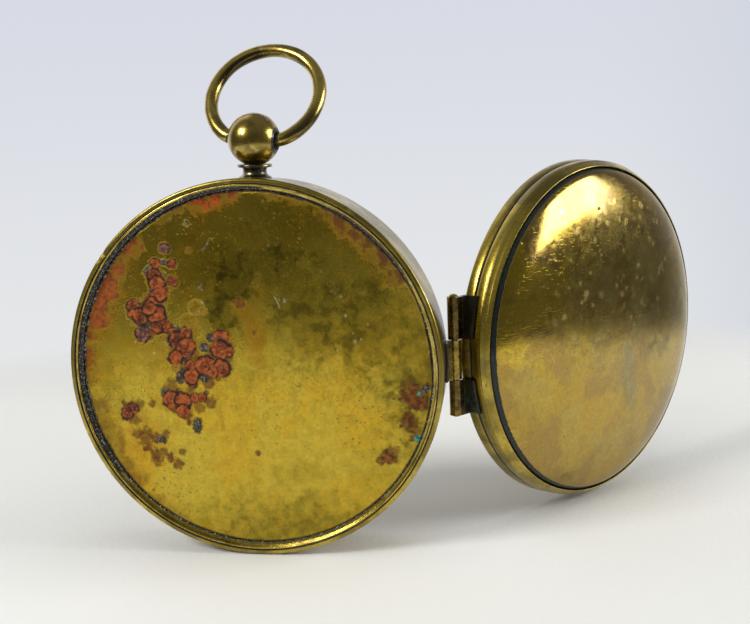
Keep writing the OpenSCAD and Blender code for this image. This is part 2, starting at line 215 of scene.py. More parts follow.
def disc_grid(r, step):
    """Triangles over a disc of radius r: a square grid inside, stitched by a fan of rings at the edge. Returns (x, z, faces)."""
    n = int(r / step)
    rings = [np.zeros((1, 2))]
    counts = [1]
    for k in range(1, n + 1):
        rr = r * k / n
        c = max(6, int(round(2 * np.pi * rr / step / 6)) * 6)
        a = np.arange(c) * 2 * np.pi / c + k * 0.37
        rings.append(np.stack([rr * np.cos(a), rr * np.sin(a)], 1))
        counts.append(c)
    pts = np.concatenate(rings)
    off = np.cumsum([0] + counts)
    faces = []
    for k in range(1, n + 1):
        c0, c1, o0, o1 = counts[k - 1], counts[k], off[k - 1], off[k]
        a0 = (np.arange(c0) / c0 + (k - 1) * 0.37 / 2 / np.pi) % 1.0 if c0 > 1 else np.zeros(1)
        if c0 == 1:
            j = np.arange(c1)
            faces.append(np.stack([np.full(c1, o0), o1 + j, o1 + (j + 1) % c1], 1))
            continue
        b = (np.arange(c1) / c1 + k * 0.37 / 2 / np.pi) - (k - 1) * 0.37 / 2 / np.pi
        # walk both rings together
        ia = 0
        j = np.arange(c1)
        near = np.floor(b * c0 + 0.5).astype(int)            # inner vertex nearest each outer vertex
        nxt = np.concatenate([near[1:], [near[0] + c0]])
        faces.append(np.stack([o0 + near % c0, o1 + j, o1 + (j + 1) % c1], 1))
        for s in range(int((nxt - near).max())):
            sel = nxt - near > s
            faces.append(np.stack([o0 + (near[sel] + s) % c0, o1 + (j[sel] + 1) % c1, o0 + (near[sel] + s + 1) % c0], 1))
    return pts[:, 0], pts[:, 1], np.concatenate(faces)


def tube(name, path, radius, mat, body, n=28, closed=False, wobble=0.0, **kw):
    """Sweeps a round wire along a path in mm. radius is one number or one per point."""
    path = np.asarray(path, float)
    m = len(path)
    tan = np.roll(path, -1, 0) - np.roll(path, 1, 0) if closed else np.gradient(path, axis=0)
    tan /= np.linalg.norm(tan, axis=1)[:, None]
    up = np.cross(tan[0], [0.3, 0.5, 0.8])
    up /= np.linalg.norm(up)
    ups = []
    for k in range(m):
        up = up - tan[k] * (up @ tan[k])
        up /= np.linalg.norm(up)
        ups.append(up)
    ups = np.array(ups)
    sides = np.cross(tan, ups)
    rad = np.broadcast_to(np.asarray(radius, float), (m,))
    a = np.arange(n) * 2 * np.pi / n
    K, A = np.meshgrid(np.arange(m), np.arange(n), indexing="ij")
    K, A = K.ravel(), A.ravel()
    rr = rad[K]
    if wobble:
        rr = rr + wobble * (fbm(K * 0.11 + 3, A / n * 6.0, 5, 3) - 0.5)
    v = path[K] + rr[:, None] * (np.cos(a[A])[:, None] * ups[K] + np.sin(a[A])[:, None] * sides[K])
    i, j = np.meshgrid(np.arange(m if closed else m - 1), np.arange(n), indexing="ij")
    i, j = i.ravel(), j.ravel()
    f = np.stack([i * n + j, ((i + 1) % m) * n + j, ((i + 1) % m) * n + (j + 1) % n, i * n + (j + 1) % n], 1)
    faces = [tuple(q) for q in f]
    if not closed:
        faces += [tuple(range(n - 1, -1, -1)), tuple((m - 1) * n + k for k in range(n))]
    return make(name, v, faces, mat, body, **kw)


# ------------------------------------------------------------------ materials
def lin(r, g, b, a=1.0):
    def c(v):
        v /= 255.0
        return v / 12.92 if v <= 0.04045 else ((v + 0.055) / 1.055) ** 2.4
    return (c(r), c(g), c(b), a)


class Mat:
    """A Principled material built from nodes. Lengths inside are in millimetres."""

    def __init__(self, name):
        self.m = bpy.data.materials.new(name)
        self.m.use_nodes = True
        self.nt = self.m.node_tree
        self.nt.nodes.clear()
        out = self.nt.nodes.new("ShaderNodeOutputMaterial")
        self.b = self.nt.nodes.new("ShaderNodeBsdfPrincipled")
        self.nt.links.new(self.b.outputs[0], out.inputs[0])
        self.tc = self.nt.nodes.new("ShaderNodeTexCoord").outputs["Object"]

    def co(self, sx=1.0, sy=1.0, sz=1.0, rot=(0, 0, 0)):
        n = self.nt.nodes.new("ShaderNodeMapping")
        n.inputs["Scale"].default_value = (1000 * sx, 1000 * sy, 1000 * sz)
        n.inputs["Rotation"].default_value = [math.radians(a) for a in rot]
        self.nt.links.new(self.tc, n.inputs["Vector"])
        return n.outputs[0]

    def noise(self, vec, scale, detail=3.0, rough=0.5, distort=0.0):
        n = self.nt.nodes.new("ShaderNodeTexNoise")
        self.nt.links.new(vec, n.inputs["Vector"])
        n.inputs["Scale"].default_value = scale
        n.inputs["Detail"].default_value = detail
        n.inputs["Roughness"].default_value = rough
        n.inputs["Distortion"].default_value = distort
        return n.outputs["Fac"]

    def voronoi(self, vec, scale, randomness=1.0, feature="F1"):
        n = self.nt.nodes.new("ShaderNodeTexVoronoi")
        n.feature = feature
        self.nt.links.new(vec, n.inputs["Vector"])
        n.inputs["Scale"].default_value = scale
        n.inputs["Randomness"].default_value = randomness
        return n.outputs["Distance"]

    def link(self, src, sock):
        if isinstance(src, bpy.types.NodeSocket):
            self.nt.links.new(src, sock)
        else:
            sock.default_value = src

    def math(self, op, a, b=None, clamp=False):
        n = self.nt.nodes.new("ShaderNodeMath")
        n.operation = op
        n.use_clamp = clamp
        self.link(a, n.inputs[0])
        if b is not None:
            self.link(b, n.inputs[1])
        return n.outputs[0]

    def rng(self, v, a, b, lo=0.0, hi=1.0, smoothed=True):
        n = self.nt.nodes.new("ShaderNodeMapRange")
        n.interpolation_type = "SMOOTHSTEP" if smoothed else "LINEAR"
        self.link(v, n.inputs["Value"])
        for k, x in zip(("From Min", "From Max", "To Min", "To Max"), (a, b, lo, hi)):
            n.inputs[k].default_value = x
        return n.outputs[0]

    def mix(self, fac, a, b, blend="MIX"):
        n = self.nt.nodes.new("ShaderNodeMix")
        n.data_type = "RGBA"
        n.blend_type = blend
        self.link(fac, n.inputs[0])
        self.link(a, n.inputs[6])
        self.link(b, n.inputs[7])
        return n.outputs[2]

    def attr(self, name, color=False):
        n = self.nt.nodes.new("ShaderNodeAttribute")
        n.attribute_name = name
        return n.outputs["Color" if color else "Fac"]

    def bump(self, height, strength=1.0):
        n = self.nt.nodes.new("ShaderNodeBump")
        n.inputs["Strength"].default_value = strength
        n.inputs["Distance"].default_value = MM
        self.link(height, n.inputs["Height"])
        self.nt.links.new(n.outputs[0], self.b.inputs["Normal"])

    def set(self, **kw):
        for k, v in kw.items():
            self.link(v, self.b.inputs[k.replace("_", " ")])


BRASS = (0.60, 0.445, 0.055, 1)
OLIVE = (0.30, 0.225, 0.022, 1)
PALE = (0.70, 0.58, 0.20, 1)
GRIME_AND_SHADE = (0.018, 0.014, 0.008, 1)


def brass(name, base=BRASS, dark=OLIVE, light=PALE, rough=(0.2, 0.36), blotch=0.09, cover=(0.42, 0.66), pale=(0.6, 0.78),
          grain=0.004, specks=0.5, dirt_and_shade=True, scratch=0.5, stretch=(1, 1, 1), coat=0.0, crumbs=False, painted_shade=False):
    """Aged brass: base metal, darker tarnish in clouds, rubbed pale patches, brown specks and hairlines; the
    dirt_and_shade attribute lays grime in the corners and painted shade in places, and painted_shade darkens a patch as
    painted shade.
    """
    m = Mat(name)
    o = m.co()
    cloud = m.noise(m.co(*stretch), blotch, 5, 0.6, 0.4)
    fine = m.noise(o, 1.1, 6, 0.62)
    col = m.mix(m.rng(cloud, *cover), base, dark)
    rub = m.noise(m.co(0.8, 0.8, 0.8, (20, 40, 0)), blotch * 2.6, 4, 0.55)
    col = m.mix(m.math("MULTIPLY", m.rng(rub, *pale), 0.7), col, light)
    col = m.mix(m.rng(fine, 0.3, 0.75, 0.0, 0.34, False), col, (0.16, 0.12, 0.02, 1))
    spots = m.noise(m.co(1, 1, 1, (0, 0, 30)), 0.75, 3, 0.5)
    sp = m.math("MULTIPLY", m.rng(spots, 0.66, 0.72), specks)
    col = m.mix(sp, col, (0.10, 0.05, 0.012, 1))
    # painted shade: colour darkened where the painted_shade attribute marks the bow ring
    if painted_shade:
        col = m.mix(m.attr("painted_shade"), col, (0.035, 0.022, 0.008, 1))
    r = m.rng(fine, 0.25, 0.8, rough[0], rough[1], False)
    r = m.math("ADD", r, m.rng(cloud, cover[0], cover[1], 0.0, 0.10))
    metal = m.math("SUBTRACT", 1.0, m.math("MULTIPLY", sp, 0.4))
    if dirt_and_shade:
        # dirt_and_shade: grime in corners and creases, painted shade on the lid band's hinge side, and grime with
        # painted shade where the bow ring enters its ball
        d = m.attr("dirt_and_shade")
        jag = m.noise(o, 1.8, 4, 0.65)
        dirt_shade_mask = m.rng(m.math("ADD", d, m.math("MULTIPLY", m.math("SUBTRACT", jag, 0.5), 0.7)), 0.35, 0.6)
        dirt_shade_mask = m.math("MULTIPLY", dirt_shade_mask, m.rng(d, 0.02, 0.12))
        dirt_shade_col = m.mix(m.rng(m.noise(o, 2.6, 3, 0.6), 0.4, 0.66), GRIME_AND_SHADE, (0.055, 0.045, 0.03, 1))
        if crumbs:
            dirt_shade_col = m.mix(m.math("MULTIPLY", m.rng(m.noise(o, 3.2, 2, 0.5), 0.59, 0.66), m.rng(d, 0.55, 0.8)), dirt_shade_col, (0.46, 0.50, 0.49, 1))
        col = m.mix(dirt_shade_mask, col, dirt_shade_col)
        metal = m.math("MULTIPLY", metal, m.math("SUBTRACT", 1.0, dirt_shade_mask), clamp=True)
        r = m.math("ADD", r, m.math("MULTIPLY", dirt_shade_mask, 0.4), clamp=True)
    hair = m.noise(m.co(0.25, 9.0, 0.25, (0, 8, 14)), 1.0, 2, 0.5)
    hair2 = m.noise(m.co(7.0, 0.3, 0.3, (12, 0, 50)), 1.0, 2, 0.5)
    h = m.math("MULTIPLY", m.rng(hair, 0.62, 0.68), -0.003 * scratch)
    h = m.math("ADD", h, m.math("MULTIPLY", m.rng(hair2, 0.64, 0.7), -0.003 * scratch))
    h = m.math("ADD", h, m.math("MULTIPLY", fine, grain))
    h = m.math("ADD", h, m.math("MULTIPLY", m.noise(o, 7.0, 2, 0.5), grain * 0.35))
    m.set(Base_Color=col, Metallic=metal, Roughness=r, Specular_IOR_Level=0.2, Coat_Weight=coat, Coat_Roughness=0.14)
    m.bump(h)
    return m.m


M_CASE = brass("aged_brass_case", base=(0.58, 0.42, 0.055, 1), dark=(0.24, 0.175, 0.018, 1), cover=(0.34, 0.58), coat=0.55)
M_RIM = brass("rubbed_brass_rim", base=(0.60, 0.45, 0.07, 1), dark=(0.24, 0.17, 0.02, 1), rough=(0.16, 0.3), blotch=0.16, cover=(0.42, 0.64), pale=(0.5, 0.66), coat=0.45, crumbs=True)
M_BOW = brass("aged_brass_bow", base=(0.60, 0.45, 0.09, 1), dark=(0.24, 0.165, 0.025, 1), rough=(0.17, 0.30), blotch=0.2, cover=(0.42, 0.64), specks=0.35, coat=0.6, painted_shade=True)
M_BALL = brass("dark_brass_ball", base=(0.46, 0.32, 0.055, 1), dark=(0.17, 0.115, 0.016, 1), rough=(0.16, 0.28), blotch=0.2, cover=(0.42, 0.64), specks=0.35, coat=0.6)
M_NECK = brass("tarnished_neck", base=(0.32, 0.28, 0.14, 1), dark=(0.06, 0.06, 0.035, 1), light=(0.5, 0.48, 0.4, 1), rough=(0.22, 0.36), blotch=0.3, cover=(0.36, 0.6), coat=0.8)


def hinge_brass(name, bright, worn):
    """Brass rubbed bright on the knuckles; away from the pin the leaves are painted near black as shade, with green
    patina low down.
    """
    m = Mat(name)
    o = m.co()
    fine = m.noise(o, 1.2, 5, 0.62)
    cloud = m.noise(o, 0.34, 5, 0.6, 0.4)
    col = m.mix(m.rng(cloud, 0.40, 0.62), bright, worn)
    col = m.mix(m.rng(fine, 0.3, 0.75, 0.0, 0.5, False), col, (0.10, 0.06, 0.012, 1))
    sep = m.nt.nodes.new("ShaderNodeSeparateXYZ")
    m.link(o, sep.inputs[0])
    dx = m.math("SUBTRACT", sep.outputs[0], HINGE_X)
    dy = m.math("SUBTRACT", sep.outputs[1], HINGE_Y)
    away = m.math("SQRT", m.math("ADD", m.math("MULTIPLY", dx, dx), m.math("MULTIPLY", dy, dy)))
    jag = m.math("MULTIPLY", m.math("SUBTRACT", m.noise(o, 1.1, 4, 0.65), 0.5), 1.2)
    # painted shade: the leaves away from the pin go near black; low down the dark carries green patina
    grime_and_shade_mask = m.math("MULTIPLY", m.rng(m.math("ADD", away, jag), 1.65, 2.15), 0.94)
    low = m.rng(sep.outputs[2], -5.0, -9.0)
    leaf_shade_and_patina = m.mix(m.math("MULTIPLY", m.rng(m.noise(o, 1.7, 4, 0.65), 0.48, 0.64), low), (0.006, 0.005, 0.004, 1), (0.03, 0.08, 0.05, 1))
    col = m.mix(grime_and_shade_mask, col, leaf_shade_and_patina)
    r = m.math("ADD", m.rng(fine, 0.25, 0.8, 0.18, 0.34, False), m.math("MULTIPLY", grime_and_shade_mask, 0.3))
    m.set(Base_Color=col, Roughness=r, Metallic=m.math("SUBTRACT", 1.0, grime_and_shade_mask), Specular_IOR_Level=0.25, Coat_Weight=0.4, Coat_Roughness=0.2)
    m.bump(m.math("MULTIPLY", m.noise(o, 2.0, 5, 0.6), 0.012))
    return m.m


HINGE_X, HINGE_Y = HINGE[0], HINGE[1]
M_HINGE = hinge_brass("worn_hinge_brass", (0.50, 0.35, 0.06, 1), (0.16, 0.11, 0.016, 1))
M_HINGE_LID = hinge_brass("dark_hinge_brass", (0.24, 0.16, 0.035, 1), (0.05, 0.032, 0.008, 1))
M_PLATE = brass("engraved_brass", base=(0.70, 0.58, 0.20, 1), dark=(0.42, 0.34, 0.09, 1), rough=(0.28, 0.42), blotch=0.07, dirt_and_shade=False, scratch=1.0)
M_TYMPAN = brass("tympan_brass", base=(0.36, 0.27, 0.065, 1), dark=(0.19, 0.14, 0.03, 1), rough=(0.3, 0.46), blotch=0.07, dirt_and_shade=False, scratch=1.0)
M_RETE = brass("rete_brass", base=(0.82, 0.66, 0.24, 1), dark=(0.52, 0.40, 0.11, 1), rough=(0.18, 0.3), blotch=0.12, dirt_and_shade=False, scratch=1.0)
M_RULE = brass("rule_brass", base=(0.68, 0.54, 0.16, 1), dark=(0.36, 0.27, 0.06, 1), rough=(0.2, 0.34), blotch=0.12, dirt_and_shade=False, scratch=1.0)
M_DARK = brass("dark_brass", base=(0.26, 0.19, 0.05, 1), dark=(0.07, 0.05, 0.02, 1), rough=(0.28, 0.46), blotch=0.4, dirt_and_shade=False)
M_STEEL = brass("dull_steel", base=(0.36, 0.34, 0.31, 1), dark=(0.14, 0.11, 0.08, 1), light=(0.55, 0.54, 0.52, 1), rough=(0.26, 0.42), blotch=0.4, dirt_and_shade=False)
M_INSIDE = brass("case_inside_brass", base=(0.52, 0.42, 0.10, 1), dark=(0.24, 0.19, 0.05, 1), rough=(0.3, 0.46), blotch=0.1, dirt_and_shade=False)


def engraving(name, col=(0.012, 0.009, 0.006, 1)):
    m = Mat(name)
    n = m.noise(m.co(), 1.5, 4, 0.6)
    m.set(Base_Color=m.mix(m.rng(n, 0.35, 0.7), col, (0.05, 0.035, 0.015, 1)), Roughness=m.rng(n, 0.2, 0.8, 0.5, 0.85), Metallic=0.0)
    m.bump(m.math("MULTIPLY", n, 0.01))
    return m.m


M_INK = engraving("engraved_lines")

for node, mat in (("front_bezel", M_INSIDE), ("mater_plate", M_INSIDE), ("limb_ring", M_PLATE), ("limb_rivets", M_DARK),
                  ("tympan_1", M_TYMPAN), ("tympan_2", M_TYMPAN), ("tympan_3", M_TYMPAN), ("rete", M_RETE), ("rule", M_RULE),
                  ("sight_vane_1", M_RULE), ("sight_vane_2", M_RULE), ("vane_pins", M_STEEL), ("centre_pin", M_STEEL),
                  ("pin_washer", M_RETE), ("horse_wedge", M_DARK), ("pendant_nut", M_DARK), ("swivel_washer", M_DARK),
                  ("hinge_case_leaf", M_HINGE), ("hinge_lid_leaf", M_HINGE_LID), ("hinge_pin", M_RIM), ("back_plate", M_PLATE),
                  ("back_bezel", M_RIM), ("case_wall", M_CASE), ("lid_band", M_CASE), ("lid_bezel", M_CASE), ("lid_dome", M_CASE),
                  ("pendant_neck", M_NECK), ("bow_ball", M_BALL), ("bow_ring", M_BOW)):
    o = frame["nodes"][node]
    o.data.materials.clear()
    o.data.materials.append(mat)

# ------------------------------------------------------------------ case: wall, bezel and back plate
N_TURN = 480


def around(t, scale, seed, y=None):
    """Noise that closes on itself round the axis."""
    return fbm(np.cos(t) * scale + 40, np.sin(t) * scale + 40 + (0 if y is None else y), seed, 3)


def arc_pts(cx, cy, r, a0, a1, n):
    a = np.radians(np.linspace(a0, a1, n + 1))
    return [(cx + r * math.cos(k), cy + r * math.sin(k)) for k in a]


wall = [(38.92, 0.16, 0.03), (38.98, 0.04, 0.03), (39.1, 0.0, 0.04)] + [(a, b, 0.0) for a, b in arc_pts(39.42, 0.58, 0.58, -90, 0, 8)] + [
    (40.0, 2.3, 0.3), (39.86, 2.72, 0.1), (39.45, 3.0, 0.08), (39.2, 3.12, 0.12), (39.2, 14.34, 0.15), (39.05, 14.6, 0.1), (38.35, 14.6, 0.1), (38.1, 14.4, 0.1),
    (38.1, 2.95, 0.0), (37.2, 2.9, 0.05), (37.2, 2.6, 0.05), (38.1, 2.6, 0.0), (38.1, 1.7, 0.0), (38.92, 1.7, 0.0)]
wall = [(p[0], p[1] - BR, p[2]) for p in wall]
wall = resample(fillet(wall), 0.55)


def wall_wobble(t, r, y):
    outer = (r > 39.0).astype(float)
    k = outer * smooth(y, -1.6, -1.0)
    dr = -k * (0.05 * around(t, 4, 3, y * 0.12) + 0.035 * around(t, 14, 4, y * 0.5))
    nick = np.exp(-((t - 2.455) / 0.020) ** 2) * np.exp(-((r - 39.5) / 0.5) ** 2) * (y < -0.8)
    nick2 = np.exp(-((t - 2.495) / 0.010) ** 2) * np.exp(-((r - 39.6) / 0.5) ** 2) * (y < -0.8)
    return dr - 0.26 * nick - 0.18 * nick2, 0.2 * nick + 0.12 * nick2


def wall_dirt(t, r, y):
    seam = smooth(-np.abs(r - 38.97), -0.13, -0.05) * (y < -1.4)
    root = np.exp(-((y - 1.38) / 0.28) ** 2) * (r < 39.6) * (r > 39.0) * 0.9
    front = smooth(y, 12.62, 12.85) * (r > 38.2) * 0.6
    return np.clip(seam + root + front + 0.10, 0, 1)


lathe("case_wall_shell", wall, M_CASE, "case", n=N_TURN, wobble=wall_wobble, dirt_and_shade=wall_dirt, replaces=("case_wall",), slot="case_brass", sharp=40)

bez = [(38.88, 1.66, 0.02), (38.88, 0.44, 0.0)] + [(a, b, 0.0) for a, b in arc_pts(38.6, 0.4, 0.28, 0, -180, 14)][1:] + [
    (38.32, 1.22, 0.1), (37.62, 1.4, 0.06), (37.6, 1.66, 0.02)]
bez = resample(fillet([(p[0], p[1] - BR, p[2]) for p in bez]), 0.14)


def bez_wobble(t, r, y):
    k = smooth(-y, 0.3, 0.9)
    return k * 0.05 * (around(t, 7, 21) - 0.5) * 2, 0.05 * (around(t, 9, 22) - 0.5) * k - 0.0 * t


def bez_dirt(t, r, y):
    a = np.degrees(t) % 360
    crusty = smooth(a, 78, 92) * (1 - smooth(a, 200, 232)) + 0.5 * (1 - smooth(np.abs(a - 45), 12, 30))
    inner = smooth(y, -1.25, -0.8) * (r < 38.6) * np.clip(crusty, 0, 1)
    foot = smooth(-r, -37.95, -37.72) * 0.85
    out = smooth(r, 38.72, 38.86) * smooth(y, -1.55, -1.25)
    return np.clip(inner + foot + out + 0.04, 0, 1)


lathe("back_bezel_lip", bez, M_RIM, "case", n=N_TURN, wobble=bez_wobble, dirt_and_shade=bez_dirt, replaces=("back_bezel",), slot="rim_brass", sharp=50)

# the back plate, with its corrosion. Spots are x, z, radius in mm and a kind:
# o orange scab, p pinkish scab, d dark crust, b brown stain, y yellow ringed spot, r small ring, n faint ring, g verdigris
SPOTS = """
-17.8 25.9 1.2 p,-20 22.8 1.2 o,-16.3 22.5 1.1 o,-18 22.8 1.1 d,-21.7 20.9 1.3 d,-20.4 20.1 1.5 o,-19.9 18.4 1.7 o,-21.3 17.3 .7 d,
-16.4 18.9 1.1 o,-19.2 16.2 1.7 o,-20.5 15.8 1.1 o,-22.3 15.6 1 b,-25.5 13.7 1.5 o,-21.3 14.3 1.3 o,-25.7 12 1.1 o,-23.9 11.6 1.9 o,
-20.6 11.8 2.1 o,-22 13.3 1.5 o,-23 9.7 1.5 d,-24 7.7 1.8 p,-22.5 7.5 1.3 b,-18.6 9.4 1.4 o,-20.6 9 1.3 o,-17.4 8.1 .9 o,-16.4 8.5 1.1 d,
-11.7 13.6 1.7 y,-10.3 12.5 .9 y,-13.7 10.4 1.8 y,-12.5 8.3 1.6 y,-14.3 7.9 1.3 o,-16.2 6.4 1.9 o,-17.7 6 1.3 d,-13.8 5.3 1.5 o,
-15.4 5.1 1.3 o,-13.7 4.3 1.3 d,-16.9 2.5 1.6 o,-14.6 3.4 1 o,-12.9 3.2 1.3 b,-17 .4 1 r,-15.7 -.3 1.1 d,-16.3 -1.8 1.3 d,-14.3 1.7 .9 d,
-13.9 .8 1.1 o,-10.6 .8 2.1 o,-12.1 2.1 1.1 b,-9.1 6.8 1 d,-10.6 4.9 1.1 d,-9.3 4.2 1.3 b,-6.7 6.8 1.7 o,-6.9 4.2 2.1 o,-8.3 3 1.3 b,
-5.4 3.8 1.1 o,-7.1 .4 1.9 o,-9 -.5 1.3 o,-10.8 -1.6 1.3 d,-13.8 -1.4 1.7 o,-13.7 -3.1 1.3 b,-10.4 -3.1 1.5 b,-14 -4 1.1 b,
-18.2 -3.5 1.7 b,-19.6 -5.1 1.3 d,-18.6 -6.4 1.9 o,-17.2 -4.8 .9 d,-16 -6.6 1.7 o,-17.9 -8.3 1.3 b,-16.1 -9 1.5 o,-15.3 -10.1 1.1 b,
-13.3 -6.1 1.1 o,-11.5 -6.1 .9 o,-10 -7 1.5 b,-12.3 -8.3 1.2 b,-15 -11.6 .7 b,-13.2 -11.6 1.1 d,-13.1 -12.9 1.1 d,-2.1 5.3 1.1 n,
-10.8 -5 .6 d,-12.7 31 .7 d,-12.6 25.4 .7 b,-2.2 14.2 1.3 b,-.2 -18 .7 b,.4 7.6 .6 b,-25.6 -7.5 1.3 b,-27.3 -8.4 1.3 o,-28.7 -9.5 1.3 o,
-29 -10.2 1.1 d,-27.2 -10.8 1.3 b,-29.2 -7.3 .9 b,-22.7 -7.5 .9 b,-24.8 -14.6 1.9 b,-26.6 -14.1 1.3 b,-22.8 -15 1.3 b,-21.3 -15.4 1.1 d,
-20.3 -14.1 .9 b,-24.6 -17.2 1.1 b,-22.9 -18.8 1.5 b,-21.1 -18.3 1.3 b,-22.6 -20.3 1.1 b,-19.6 -19.4 1.1 b,-18.1 -20.7 1.3 b,-17 -18 .9 b,
32.4 -3.4 1.9 b,31.7 -5.5 1.7 b,34 -4.6 1.9 b,35.6 -5.3 1.7 b,34.7 -7.2 1.9 b,33.1 -6.5 1.9 b,36.1 -3.8 1.1 d,34.8 -5.1 .7 g,32.4 -9.5 1.1 b,
31.7 -11.4 1.5 b,33.1 -11.6 1.5 b,34.1 -12.9 1.3 b,34.3 -14.4 1.1 g,33.2 -14.2 .9 b,28.7 -17.4 1.5 b,27.4 -18.5 1.5 b,28.9 -19.1 1.1 b,26.1 -19.4 1.1 b
"""
SPOTS = [(float(a), float(b), float(c), k) for a, b, c, k in (s.split() for s in SPOTS.replace("\n", "").split(",") if s.strip())]


def C(r, g, b):
    return np.array(lin(r, g, b)[:3])


class Paint:
    """Colour, metal share, roughness and height of a surface, laid on in coats."""

    def __init__(self, n):
        self.col = np.zeros((n, 3))
        self.cov = np.zeros(n)      # share covered by corrosion
        self.h = np.zeros(n)

    def coat(self, i, a, col, h=None):
        a = np.clip(a, 0, 1)
        self.col[i] = self.col[i] * (1 - a)[:, None] + col * a[:, None]
        self.cov[i] = self.cov[i] + (1 - self.cov[i]) * a
        if h is not None:
            self.h[i] = self.h[i] * (1 - a) + h * a


